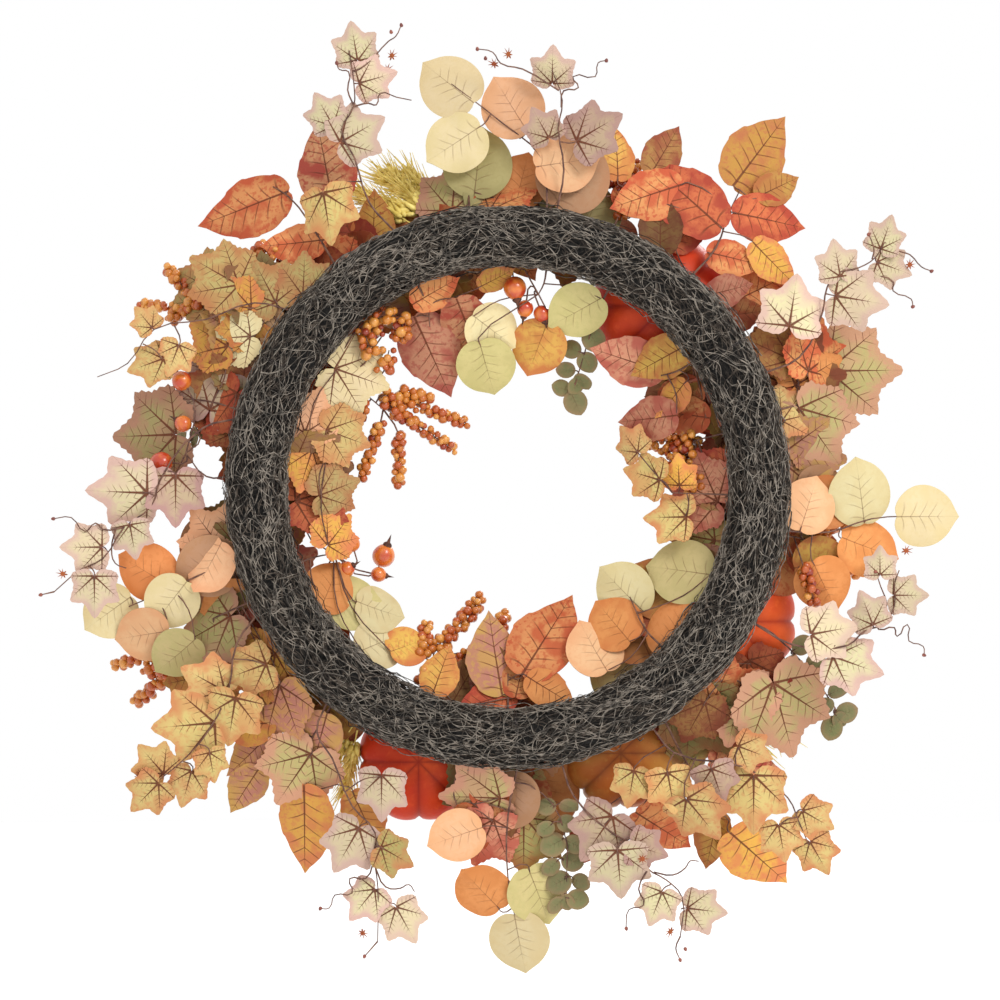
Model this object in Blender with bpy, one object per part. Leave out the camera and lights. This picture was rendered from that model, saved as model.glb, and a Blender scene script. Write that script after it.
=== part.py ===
"""Harvest door wreath: a vine bundle on a wire hoop, with artificial sprays and pumpkins wired to it.

Frame: hanging upright, +Z up, the display side faces -Y and the back +Y. The origin is the seat
where a door hook holds the bundle, at the underside of its top. Places on the wreath are given as
a clock angle in degrees, clockwise from the top as seen from behind, and a reach from the ring's
centre in millimetres. Every spray lies on a cone that leans forward from the bundle's core.
"""
import bpy
import bmesh
import math
from mathutils import Vector

MM = 0.001

# Driving dimensions, in metres
RING_RADIUS = 0.181          # centre of the ring to the core of the bundle
BUNDLE_RADIUS = 0.0215       # section of the vine bundle
BACK_FLAT = 0.0185           # where the back of the bundle is pressed flat
HOOP_WIRE = 0.0018           # radius of the steel hoop's wire
GROOVE_HALF = 0.0024         # half width of the front groove that holds the hoop
TIE_WIRE = 0.0006            # radius of a binding wire
PINCH = 0.93                 # how far a binding wire pulls the bundle in
GAP = 0.0003                 # clearance between touching pieces
LEAF_THICK = 0.0014
PETIOLE_RADIUS = 0.00055     # radius of a leaf's own stalk
PETIOLE_STRAIGHT = 0.006     # the stalk's last stretch, in line with its blade
FRONT_STEM = 0.014           # how far a front stem runs forward from its root
FRONT_DOME = 0.060           # how far a front leaf may stand off the ring before it turns fully sideways
STEM_ROOT = 0.0228           # a spray starts this far from the bundle's core
CENTRE_Z = -(RING_RADIUS - BUNDLE_RADIUS)
TIE_CLOCKS = (58, 178, 298)

# Half outlines of the leaf blades: place along the blade, half width, both as parts of its length
BLADES = {
    "ivy": ((0.0, 0.10), (0.28, 0.47), (1.0, 0.0)),
    "round": ((0.0, 0.14), (0.25, 0.44), (0.72, 0.42), (1.0, 0.0)),
    "oval": ((0.0, 0.07), (0.28, 0.32), (0.62, 0.30), (1.0, 0.0)),
    "grape": ((0.0, 0.12), (0.08, 0.48), (0.58, 0.44), (1.0, 0.0)),
}

CREAM = (0.62, 0.45, 0.22)
PEACH = (0.66, 0.33, 0.12)
ORANGE = (0.66, 0.20, 0.04)
RED = (0.42, 0.05, 0.02)
YELLOW = (0.60, 0.38, 0.06)
PINK = (0.50, 0.22, 0.20)
SAGE = (0.12, 0.13, 0.05)
WHEAT = (0.50, 0.40, 0.12)
TWIG = (0.07, 0.06, 0.055)
STEEL = (0.25, 0.25, 0.26)


def clear_scene():
    for ob in list(bpy.data.objects):
        bpy.data.objects.remove(ob, do_unlink=True)


def finish(name, mesh_ob, colour, roughness=0.6, metallic=0.0):
    mat = bpy.data.materials.new(name + "_finish")
    mat.use_nodes = True
    shader = mat.node_tree.nodes["Principled BSDF"]
    shader.inputs["Base Color"].default_value = (*colour, 1.0)
    shader.inputs["Roughness"].default_value = roughness
    shader.inputs["Metallic"].default_value = metallic
    mesh_ob.data.materials.append(mat)
    return mesh_ob


def new_object(name, bm, collection=None, origin=Vector()):
    """A new object whose own origin is at a chosen place, such as the axis it turns on."""
    bmesh.ops.recalc_face_normals(bm, faces=bm.faces)
    bmesh.ops.translate(bm, verts=bm.verts, vec=-origin)
    mesh = bpy.data.meshes.new(name)
    bm.to_mesh(mesh)
    bm.free()
    ob = bpy.data.objects.new(name, mesh)
    ob.location = origin
    (collection or bpy.context.scene.collection).objects.link(ob)
    return ob


def on_ring(clock, reach, y=0.0):
    """A point at a clock angle and a reach in metres, at depth y."""
    a = math.radians(clock)
    return Vector((-reach * math.sin(a), y, CENTRE_Z + reach * math.cos(a)))


def on_cone(clock, reach, lean):
    """A point of a spray: reach in millimetres, on the cone leaning forward by lean degrees."""
    off = abs(reach * MM - RING_RADIUS)
    return on_ring(clock, reach * MM, -off * math.tan(math.radians(lean)))


def root_of(clock, side, lean):
    """Where a spray leaves the bundle's surface; side is 1 outside the ring and -1 inside it."""
    turn = math.radians(lean)
    return on_ring(clock, RING_RADIUS + side * STEM_ROOT * math.cos(turn), -STEM_ROOT * math.sin(turn))


def heading(clock):
    a = math.radians(clock)
    return Vector((-math.sin(a), 0.0, math.cos(a)))


def cone_normal(clock, side, lean):
    outward = heading(clock) * side
    turn = math.radians(lean)
    along = outward * math.cos(turn) + Vector((0.0, -math.sin(turn), 0.0))
    normal = along.cross(heading(clock + 90))
    return normal if normal.y > 0 else -normal


def ring_face(bm, loops, closed):
    count = len(loops)
    for i in range(count if closed else count - 1):
        a, b = loops[i], loops[(i + 1) % count]
        for j in range(len(a)):
            k = (j + 1) % len(a)
            bm.faces.new((a[j], a[k], b[k], b[j]))
    if not closed:
        bm.faces.new(loops[0])
        bm.faces.new(reversed(loops[-1]))


def tube(points, radii, sides=3):
    """A closed tube through the points, with a radius for each."""
    bm = bmesh.new()
    loops = []
    side = None
    for i, point in enumerate(points):
        before = points[max(i - 1, 0)]
        after = points[min(i + 1, len(points) - 1)]
        along = (after - before).normalized()
        if side is None:
            side = along.cross(Vector((0.13, 1.0, 0.07))).normalized()
        side = (side - along * side.dot(along)).normalized()
        other = along.cross(side)
        loops.append([
            bm.verts.new(point + (side * math.cos(t) + other * math.sin(t)) * radii[i])
            for t in (2 * math.pi * s / sides for s in range(sides))
        ])
    ring_face(bm, loops, closed=False)
    return bm


def blade(kind, centre, length, tip_clock, normal):
    """A leaf blade: a thin plate in the plane of its normal. Returns it, its base and its direction."""
    tip = heading(tip_clock)
    along = (tip - normal * tip.dot(normal)).normalized()
    across = along.cross(normal)
    base = centre - along * length / 2
    right = [base + along * s * length + across * w * length for s, w in BLADES[kind]]
    left = [base + along * s * length - across * w * length for s, w in BLADES[kind][-2::-1]]
    bm = bmesh.new()
    face = bm.faces.new([bm.verts.new(spot - normal * LEAF_THICK / 2) for spot in right + left])
    top = bmesh.ops.extrude_face_region(bm, geom=[face])["geom"]
    moved = [g for g in top if isinstance(g, bmesh.types.BMVert)]
    bmesh.ops.translate(bm, verts=moved, vec=normal * LEAF_THICK)
    return bm, base, along


def ball(centre, radius, detail=1):
    bm = bmesh.new()
    bmesh.ops.create_icosphere(bm, subdivisions=detail, radius=radius)
    bmesh.ops.translate(bm, verts=bm.verts, vec=centre)
    return bm


def nearest_on(path, point):
    best = path[0]
    for a, b in zip(path, path[1:]):
        span = b - a
        t = max(0.0, min(1.0, (point - a).dot(span) / span.length_squared))
        spot = a + span * t
        if (spot - point).length < (best - point).length:
            best = spot
    return best


class Spray:
    """One artificial spray: a wire stem with blades, berries or ears joined to it."""

    def __init__(self, name, root, lean, stem, colour, thick=1.5):
        self.name = name
        self.lean = lean
        self.colour = colour
        self.side = 1 if stem[-1][1] * MM > RING_RADIUS else -1
        self.parts = bpy.data.collections.new(name + "_parts")
        bpy.context.scene.collection.children.link(self.parts)
        path = [root_of(root, self.side, lean)] + [on_cone(c, r, lean) for c, r in stem]
        radii = [thick * MM * (1.0 - 0.5 * i / (len(path) - 1)) for i in range(len(path))]
        self.body = new_object(name, tube(path, radii, 4), origin=path[0])
        self.paths = [path]

    def add(self, bm):
        part = new_object(self.name + "_part", bm, self.parts)
        part.hide_render = True
        part.display_type = "WIRE"

    def nearest(self, point):
        return min((nearest_on(p, point) for p in self.paths), key=lambda spot: (spot - point).length)

    def twig(self, *stops, thick=0.9):
        """A side stem through clock and reach stops, joined to the nearest stem."""
        path = [on_cone(c, r, self.lean) for c, r in stops]
        path.insert(0, self.nearest(path[0]))
        self.add(tube(path, [thick * MM] * len(path)))
        self.paths.append(path)
        return self

    def attach(self, kind, centre, length, tip_clock, normal):
        """Adds a blade and its petiole, which meets the blade in line with it where it can."""
        bm, base, along = blade(kind, centre, length * MM, tip_clock, normal)
        self.add(bm)
        start = self.nearest(base)
        path = [start]
        if (base - start).dot(along) > 0.5 * (base - start).length > PETIOLE_STRAIGHT / 2:
            path.append(base - along * PETIOLE_STRAIGHT / 3)
        path.append(base + along * PETIOLE_STRAIGHT / 2)
        self.add(tube(path, [PETIOLE_RADIUS] * len(path)))
        return self

    def leaf(self, kind, clock, reach, length, tip_clock):
        centre = on_cone(clock, reach, self.lean)
        return self.attach(kind, centre, length, tip_clock, cone_normal(clock, self.side, self.lean))

    def front_stem(self, end_clock):
        """A side stem that runs forward past the bundle and then along its front."""
        root = self.paths[0][0]
        ahead = root + Vector((0.0, -FRONT_STEM, 0.0))
        over = on_ring(end_clock, RING_RADIUS, ahead.y - 0.002)
        path = [root + (self.paths[0][1] - root) * 0.05, ahead, over]
        self.add(tube(path, [0.0011, 0.0010, 0.0008]))
        self.paths.append(path)
        return self

    def front_leaf(self, kind, clock, reach, lift, length, tip_clock):
        """A leaf that covers the front of the bundle, lift millimetres before its core."""
        centre = on_ring(clock, reach * MM, -lift * MM)
        dome = heading(clock) * (reach * MM - RING_RADIUS) / FRONT_DOME
        normal = (Vector((0.0, 1.0, 0.0)) - dome).normalized()
        return self.attach(kind, centre, length, tip_clock, normal)

    def fruit(self, clock, reach, size):
        """A round fruit of a diameter in millimetres on its own short stalk."""
        centre = on_cone(clock, reach, self.lean)
        self.add(tube([self.nearest(centre), centre], [0.0008, 0.0008]))
        self.add(ball(centre, size * MM * 0.54))
        return self

    def string(self, start, end, size=8):
        """A string of small fruits from one clock and reach to another, as one knobbly rod."""
        a, b = on_cone(*start, self.lean), on_cone(*end, self.lean)
        r = size * MM / 2
        self.add(tube([self.nearest(a), a + (b - a) * 0.2], [0.0008, 0.0008]))
        self.add(tube([a, a + (b - a) * 0.15, a + (b - a) * 0.85, b], [r * 0.5, r, r * 0.85, r * 0.4], 5))
        return self

    def ear(self, start, end, width=7):
        """An ear of wheat, thickest at a third of its length."""
        a, b = on_cone(*start, self.lean), on_cone(*end, self.lean)
        r = width * MM / 2
        self.add(tube([self.nearest(a), a + (b - a) * 0.1], [0.0008, 0.0008]))
        self.add(tube([a, a + (b - a) * 0.3, b], [r * 0.5, r, r * 0.3], 4))
        return self

    def done(self):
        join = self.body.modifiers.new("joined", "BOOLEAN")
        join.operation = "UNION"
        join.operand_type = "COLLECTION"
        join.collection = self.parts
        join.solver = "EXACT"
        return finish(self.name, self.body, self.colour)


SECTION_POINTS = 12


def bundle_section(scale):
    """The bundle's section as radial and depth offsets: round, flat behind, grooved in front."""
    points = []
    for step in range(SECTION_POINTS):
        t = math.radians(-62 + step * 304.0 / (SECTION_POINTS - 1))
        radial = BUNDLE_RADIUS * scale * math.cos(t)
        depth = min(BUNDLE_RADIUS * scale * math.sin(t), BACK_FLAT * scale)
        points.append((radial, depth))
    mouth = -BUNDLE_RADIUS * scale * 0.96
    floor = HOOP_WIRE + GAP
    groove = [(-GROOVE_HALF, mouth), (-GROOVE_HALF, floor), (GROOVE_HALF, floor), (GROOVE_HALF, mouth)]
    return points + groove


def vine_ring():
    stations = []
    for clock in range(0, 360, 12):
        if min(abs(clock - t) for t in TIE_CLOCKS) > 3:
            stations.append((clock, 1.0))
    for tie in TIE_CLOCKS:
        stations += [(tie - 1.6, 1.0), (tie - 0.5, PINCH), (tie + 0.5, PINCH), (tie + 1.6, 1.0)]
    bm = bmesh.new()
    loops = []
    for clock, scale in sorted(stations):
        loops.append([bm.verts.new(on_ring(clock, RING_RADIUS + r, y)) for r, y in bundle_section(scale)])
    ring_face(bm, loops, closed=True)
    finish("vine_ring", new_object("vine_ring", bm), TWIG, 0.9)


def ring_hoop():
    bm = bmesh.new()
    loops = []
    for step in range(30):
        clock = step * 12.0
        loops.append([
            bm.verts.new(on_ring(clock, RING_RADIUS + HOOP_WIRE * math.cos(t), HOOP_WIRE * math.sin(t)))
            for t in (math.radians(45 + 90 * s) for s in range(4))
        ])
    ring_face(bm, loops, closed=True)
    finish("ring_hoop", new_object("ring_hoop", bm), STEEL, 0.4, 1.0)


def binding_wire(number, clock):
    """A wire loop wound round the pinched bundle."""
    section = bundle_section(PINCH)
    outline = section[:SECTION_POINTS + 1] + section[-1:]
    bm = bmesh.new()
    loops = []
    for i, (radial, depth) in enumerate(outline):
        before, after = outline[i - 1], outline[(i + 1) % len(outline)]
        out = Vector((after[1] - before[1], before[0] - after[0])).normalized()
        loop = []
        for side, rise in ((-1, 0.0), (1, 0.0), (1, 2.0), (-1, 2.0)):
            push = GAP + 0.0001 + rise * TIE_WIRE
            spot = on_ring(clock, RING_RADIUS + radial + out.x * push, depth + out.y * push)
            loop.append(bm.verts.new(spot + heading(clock + 90) * side * TIE_WIRE))
        loops.append(loop)
    ring_face(bm, loops, closed=True)
    name = "binding_wire_%d" % number
    finish(name, new_object(name, bm), STEEL, 0.4, 1.0)


PUMPKINS = (
    ("red_pumpkin_right", 41, 173, 115, RED),
    ("orange_pumpkin_right", 121, 188, 105, ORANGE),
    ("ribbed_gourd", 157, 208, 92, (0.36, 0.14, 0.04)),
    ("red_pumpkin_left", 198, 208, 98, RED),
)
PUMPKIN_FLATNESS = 0.72
PUMPKIN_PROFILE = ((0.16, -0.86), (0.66, -0.90), (1.0, -0.25), (0.94, 0.45), (0.52, 0.92))


def pumpkin(name, clock, reach, width, colour):
    """A ribbed pumpkin lying with its base against the front of the bundle, and its stem in front."""
    half = width * MM / 2
    depth = half * PUMPKIN_FLATNESS
    middle = on_ring(clock, reach * MM, -(BUNDLE_RADIUS + depth * 0.90 + 0.001))
    ribs = 8
    bm = bmesh.new()
    loops = []
    for out, along in PUMPKIN_PROFILE:
        loop = []
        for step in range(ribs * 2):
            swell = 1.0 if step % 2 else 0.92
            t = math.pi * step / ribs
            flat = Vector((math.cos(t), 0.0, math.sin(t))) * half * out * swell
            loop.append(bm.verts.new(middle + flat + Vector((0.0, -depth * along, 0.0))))
        loops.append(loop)
    dimple = middle + Vector((0.0, -depth * 0.70, 0.0))
    floor = [bm.verts.new(dimple + (v.co - middle) * 0.32) for v in loops[-1]]
    for vert in floor:
        vert.co.y = dimple.y
    loops.append(floor)
    ring_face(bm, loops, closed=False)
    finish(name, new_object(name, bm), colour, 0.45)
    foot = dimple + Vector((0.0, -GAP - 0.0001, 0.0))
    lean = heading(clock + 40) * 0.012
    rise = [foot, foot + Vector((0, -0.012, 0)), foot + Vector((0, -0.026, 0)) + lean]
    stem = new_object(name + "_stem", tube(rise, [0.0052, 0.0042, 0.0055], 6))
    finish(name + "_stem", stem, (0.16, 0.13, 0.05), 0.8)


def ivy_vines():
    s = Spray("ivy_vine_top_left", 336, 0, [(334, 226), (335, 260), (338, 294), (340, 334)], CREAM, 1.6)
    s.leaf("ivy", 341, 338, 27, 350).leaf("ivy", 342.5, 307, 26, 75).leaf("ivy", 338, 276, 35, 60)
    s.leaf("ivy", 334, 301, 28, 330).leaf("ivy", 326, 230, 38, 170)
    s.twig((342, 318), (347, 339)).twig((345, 290), (349, 286)).done()
    s = Spray("ivy_vine_top", 10, 0, [(10, 230), (8, 262), (8, 279), (6, 304)], CREAM, 1.6)
    s.leaf("ivy", 6, 306, 27, 0).leaf("ivy", 14.4, 266, 35, 60).leaf("ivy", 4.5, 262, 25, 330)
    s.twig((9, 290), (12, 306), (13, 315)).twig((2, 299), (358, 311), (356, 316)).done()
    s = Spray("ivy_vine_upper_right", 66, 0, [(66, 228), (61, 257), (58, 280), (58, 306), (57, 321)],
              CREAM, 1.6)
    s.leaf("ivy", 56.5, 245, 38, 10).leaf("ivy", 54.5, 287, 27, 350).leaf("ivy", 55.5, 327, 25, 20)
    s.leaf("ivy", 61, 318, 26, 110).leaf("ivy", 63, 287, 36, 100)
    s.twig((59, 327), (62, 335), (63, 341)).done()
    s = Spray("ivy_vine_right", 119, 0, [(119, 232), (114, 262), (110, 284), (104, 288), (102, 288)],
              CREAM, 1.6)
    s.leaf("ivy", 105.5, 301, 24, 90).leaf("ivy", 107.5, 266, 26, 340).leaf("ivy", 113.5, 252, 32, 80)
    s.leaf("ivy", 117, 276, 34, 110)
    s.twig((110, 294), (110, 307), (111, 320)).done()
    s = Spray("ivy_vine_lower_right", 149, 0, [(148, 224), (141, 261), (139, 290), (139, 317), (140, 335)],
              YELLOW, 1.6)
    s.leaf("ivy", 151, 248, 30, 170).leaf("ivy", 145, 264, 26, 160)
    s.leaf("ivy", 135.5, 262, 26, 110).leaf("ivy", 142.6, 290, 38, 180).leaf("ivy", 149, 274, 34, 140)
    s.leaf("ivy", 143, 322, 27, 170).leaf("ivy", 136.5, 326, 26, 120).leaf("ivy", 140, 347, 27, 150).done()
    s = Spray("ivy_vine_bottom", 169, 4, [(168, 226), (163, 260), (160, 290), (158, 319), (159, 345)],
              CREAM, 1.6)
    s.leaf("ivy", 167, 259, 36, 215).leaf("ivy", 164.4, 291, 36, 175).leaf("ivy", 161.5, 322, 27, 200)
    s.leaf("ivy", 155, 333, 28, 95).leaf("ivy", 157.5, 276, 28, 110)
    s.twig((158, 300), (153, 301)).twig((159, 352), (160, 362)).done()
    s = Spray("ivy_vine_lower_left", 220, 0, [(218, 222), (209, 239), (201, 265), (198, 301), (197, 338)],
              CREAM, 1.6)
    s.leaf("ivy", 203, 242, 33, 180).leaf("ivy", 204.5, 285, 34, 210).leaf("ivy", 195.5, 276, 28, 120)
    s.leaf("ivy", 199.5, 317, 28, 220).leaf("ivy", 193, 322, 29, 150)
    s.twig((201, 302), (204, 330)).twig((197, 338), (197, 351)).done()
    s = Spray("ivy_vine_left_low", 243, 0, [(240, 224), (234, 250), (230, 299), (230, 331)], YELLOW, 1.6)
    s.leaf("ivy", 234, 290, 40, 265).leaf("ivy", 233, 321, 28, 320).leaf("ivy", 229.5, 343, 28, 225)
    s.leaf("ivy", 226.2, 317, 27, 195).leaf("ivy", 226, 292, 22, 170).leaf("ivy", 229, 262, 32, 190)
    s.leaf("ivy", 239, 257, 34, 300).done()
    s = Spray("ivy_vine_left", 284, 0, [(281, 222), (271, 249), (264, 276), (260, 300), (257, 333)],
              CREAM, 1.6)
    s.leaf("ivy", 269.5, 281, 42, 275).leaf("ivy", 267.5, 234, 36, 180).leaf("ivy", 262.5, 309, 28, 270)
    s.leaf("ivy", 260, 268, 25, 170).leaf("ivy", 255, 306, 28, 180)
    s.twig((265, 296), (266, 326)).twig((257, 333), (257, 343)).done()
    s = Spray("ivy_vine_upper_left", 309, 0, [(306, 224), (299, 247), (294, 277), (285, 304)], YELLOW, 1.4)
    s.leaf("ivy", 289, 272, 26, 250).leaf("ivy", 290.5, 253, 24, 200).leaf("ivy", 295, 290, 22, 320).done()


def round_leaf_sprays():
    s = Spray("round_leaf_spray_top", 8, 13, [(6, 236), (359, 262), (352, 293)], CREAM)
    s.leaf("round", 351.6, 296, 47, 310).leaf("round", 1.5, 277, 45, 340).leaf("round", 350, 249, 44, 235)
    s.leaf("round", 13, 240, 44, 60).done()
    s = Spray("round_leaf_spray_right", 99, 13, [(98, 232), (95, 262), (94, 296)], CREAM)
    s.leaf("round", 88, 254, 46, 20).leaf("round", 94, 304, 46, 90).leaf("round", 101.5, 268, 44, 150)
    s.leaf("round", 107.5, 240, 42, 160).leaf("round", 92, 222, 36, 20).done()
    s = Spray("round_leaf_spray_bottom", 178, 13, [(180, 236), (180, 281), (179, 312)], CREAM)
    s.leaf("round", 188, 256, 40, 250).leaf("round", 184.7, 292, 40, 240).leaf("round", 174, 297, 42, 120)
    s.leaf("round", 179, 329, 44, 180).done()
    s = Spray("round_leaf_spray_left", 255, 13, [(254, 232), (253, 262), (252.5, 286)], CREAM)
    s.leaf("round", 252.5, 303, 42, 252).leaf("round", 247, 257, 40, 210).leaf("round", 259, 268, 42, 310)
    s.leaf("round", 258, 226, 38, 320).done()
    s = Spray("round_leaf_spray_inner_right", 136, 20, [(136, 142), (132, 118)], CREAM)
    s.leaf("round", 132, 103, 44, 315).leaf("round", 146, 124, 42, 250).leaf("round", 118, 128, 44, 20)
    s.done()


def cherry_leaf_sprays():
    s = Spray("cherry_leaf_spray_top_left", 322, 26, [(323, 232), (323, 262), (322, 276)], ORANGE)
    s.leaf("oval", 315.5, 282, 70, 297).leaf("oval", 330.7, 274, 68, 345).leaf("oval", 317, 236, 50, 270)
    s.leaf("oval", 334, 232, 48, 20).done()
    s = Spray("cherry_leaf_spray_top_right", 41, 22, [(41, 228), (39, 252), (38, 272)], ORANGE)
    s.leaf("oval", 25, 226, 58, 280).leaf("oval", 31, 250, 70, 315).leaf("oval", 36.8, 308, 68, 37)
    s.leaf("oval", 45.5, 276, 57, 60).leaf("oval", 51, 242, 44, 130).done()
    s = Spray("cherry_leaf_spray_bottom_right", 146, 24, [(147, 232), (147, 262), (146.5, 290)], ORANGE)
    s.leaf("oval", 145.7, 326, 69, 140).leaf("oval", 139, 264, 52, 100).leaf("oval", 156, 272, 56, 170)
    s.done()
    s = Spray("cherry_leaf_spray_bottom_left", 219, 24, [(218, 228), (216, 252), (213, 262)], ORANGE)
    s.leaf("oval", 210.3, 292, 70, 185).leaf("oval", 223.5, 272, 46, 240).leaf("oval", 207, 244, 48, 150)
    s.leaf("oval", 228, 236, 48, 280).done()
    s = Spray("cherry_leaf_spray_inner_left", 336, 22, [(336, 142), (334, 128)], PINK)
    s.leaf("oval", 327, 107, 62, 150).leaf("oval", 346, 124, 42, 100).leaf("oval", 342, 146, 34, 60).done()
    s = Spray("cherry_leaf_spray_inner_right", 56, 20, [(55.5, 146), (54, 136)], PEACH)
    s.leaf("oval", 43, 122, 56, 290).leaf("oval", 66, 116, 48, 200).leaf("oval", 66, 142, 40, 110).done()
    s = Spray("cherry_leaf_spray_inner_bottom", 180, 22, [(180, 146), (180, 134)], ORANGE)
    s.leaf("oval", 187.5, 112, 58, 0).leaf("oval", 165, 113, 66, 40).leaf("oval", 162, 143, 36, 90).done()


def grape_leaf_sprays():
    s = Spray("grape_leaf_spray_top", 352, 38, [(352, 222), (350, 234)], PINK)
    s.leaf("grape", 345, 232, 42, 330).leaf("grape", 357, 236, 42, 10)
    s.front_stem(356).front_leaf("grape", 354, 190, 30, 58, 10).front_leaf("oval", 2, 172, 40, 56, 150)
    s.front_leaf("oval", 344, 168, 32, 56, 200).done()
    s = Spray("grape_leaf_spray_right", 74, 22, [(74, 226), (72, 252)], PINK)
    s.leaf("grape", 72, 276, 54, 80).leaf("grape", 81.5, 238, 46, 140).leaf("grape", 64.5, 240, 44, 20)
    s.front_stem(76).front_leaf("grape", 72, 190, 32, 60, 90).front_leaf("oval", 82, 174, 38, 60, 240).done()
    s = Spray("grape_leaf_spray_lower_right", 130, 20, [(130, 224), (129, 240)], ORANGE)
    s.leaf("grape", 129.5, 266, 56, 140).leaf("grape", 137, 236, 44, 200)
    s.leaf("grape", 122, 232, 42, 60).done()
    s = Spray("grape_leaf_spray_bottom", 190, 18, [(190, 224), (189, 232)], ORANGE)
    s.leaf("grape", 195.5, 238, 42, 250).leaf("grape", 181.5, 240, 40, 130).done()
    s = Spray("grape_leaf_spray_left_low", 246, 22, [(246, 226), (246, 232)], PINK)
    s.leaf("grape", 243.5, 250, 46, 240).leaf("grape", 255, 232, 36, 310).done()
    s = Spray("grape_leaf_spray_left", 286, 20, [(286, 224), (285, 246)], PINK)
    s.leaf("grape", 279, 267, 54, 270).leaf("grape", 293, 226, 46, 20)
    s.leaf("grape", 292.5, 262, 36, 320).done()
    s = Spray("grape_leaf_spray_top_left", 306, 16, [(306, 230), (306, 242)], YELLOW)
    s.leaf("grape", 306, 264, 42, 300).leaf("grape", 313, 232, 36, 350)
    s.leaf("grape", 299, 226, 32, 230).done()
    s = Spray("grape_leaf_spray_inner_left", 282, 14, [(282, 146), (280, 132)], YELLOW)
    s.leaf("grape", 289, 118, 34, 110).leaf("grape", 271, 122, 30, 70).leaf("grape", 295, 137, 28, 30).done()
    s = Spray("grape_leaf_spray_inner_right", 92, 14, [(92, 144), (92, 118)], YELLOW)
    s.leaf("grape", 83, 98, 28, 290).leaf("grape", 102, 108, 32, 250).leaf("grape", 83, 124, 26, 0).done()


def berry_sprays():
    s = Spray("berry_spray_top", 22, 38, [(21, 216), (19, 228)], ORANGE)
    s.string((19, 230), (14, 258)).string((21, 230), (22, 256)).string((17, 222), (11, 232))
    s.front_stem(16).front_leaf("oval", 13, 194, 38, 60, 10).front_leaf("grape", 15, 170, 36, 50, 190).done()
    s = Spray("berry_spray_right", 100, 34, [(100, 216), (101, 228)], ORANGE)
    s.string((101, 228), (104, 262)).string((99, 226), (95, 252)).string((104, 222), (110, 238))
    s.front_stem(95).front_leaf("oval", 93, 192, 44, 60, 80).done()
    s = Spray("berry_spray_left_top", 301, 30, [(301, 224), (300.5, 250)], ORANGE)
    s.string((300.5, 258), (302.6, 297)).string((299, 262), (296.5, 300)).string((303, 240), (311, 258))
    s.front_stem(306).front_leaf("round", 302, 190, 40, 52, 310)
    s.front_leaf("grape", 311, 172, 34, 62, 120).done()
    s = Spray("berry_spray_left_low", 240, 36, [(240, 218), (242, 240)], ORANGE)
    s.string((244, 268), (245.7, 318)).string((241, 276), (240, 316)).string((248, 244), (250, 288))
    s.front_stem(246).front_leaf("oval", 240, 190, 36, 64, 230).front_leaf("grape", 250, 172, 30, 60, 60)
    s.front_leaf("round", 258, 192, 42, 50, 270).done()
    s = Spray("berry_spray_inner_left", 304, 24, [(304, 142), (303, 112)], ORANGE)
    s.string((308, 104), (328, 54)).string((304, 98), (305, 46)).string((297, 103), (273, 106))
    s.string((296, 88), (270, 79)).string((313, 122), (322, 138), 12).done()
    s = Spray("berry_spray_inner_right", 76, 30, [(76, 146), (76, 138)], ORANGE)
    s.string((75, 138), (73, 108), 13).string((78, 136), (84, 108), 12).done()
    s = Spray("berry_spray_inner_bottom", 203, 36, [(203, 144), (203, 134)], ORANGE)
    s.string((204, 128), (194, 84)).string((199, 130), (190, 120), 11)
    s.string((207, 134), (211, 112), 10).done()


def rose_hip_sprays():
    s = Spray("rose_hip_spray_left", 272, 8, [(272, 222), (272, 234)], ORANGE)
    s.fruit(288, 246, 14).fruit(275, 249, 15).fruit(269.5, 259, 14).fruit(281, 238, 12).done()
    s = Spray("rose_hip_spray_inner_top", 10, 16, [(10, 144), (9, 136)], ORANGE)
    s.fruit(2, 142, 16).fruit(5.5, 128, 12).fruit(11, 127, 12)
    s.leaf("round", 350, 86, 44, 165).leaf("round", 12, 101, 40, 200).done()
    s = Spray("rose_hip_spray_inner_left", 250, 32, [(250, 144), (249, 134)], ORANGE)
    s.fruit(262, 134, 16).fruit(241, 103, 16).fruit(252, 118, 12).fruit(243, 131, 12)
    s.leaf("round", 233, 137, 42, 80).leaf("round", 220, 142, 36, 60).done()


def wheat_sprays():
    s = Spray("wheat_spray_top", 346, 50, [(344, 206)], WHEAT)
    s.ear((344, 212), (335, 264)).ear((342, 210), (329, 254)).ear((346, 212), (341, 262))
    s.front_stem(338).front_leaf("oval", 336, 192, 44, 58, 330)
    s.front_leaf("grape", 324, 182, 52, 56, 290).done()
    s = Spray("wheat_spray_lower_right", 134, 44, [(134, 208)], WHEAT)
    s.ear((134, 214), (137, 292)).ear((132, 214), (132, 290)).done()
    s = Spray("wheat_spray_lower_left", 212, 46, [(211, 206)], WHEAT)
    s.ear((211, 212), (207, 276)).ear((213, 212), (213, 274))
    s.front_stem(224).front_leaf("round", 222, 186, 34, 54, 220)
    s.front_leaf("oval", 230, 170, 42, 56, 30).done()


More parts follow.
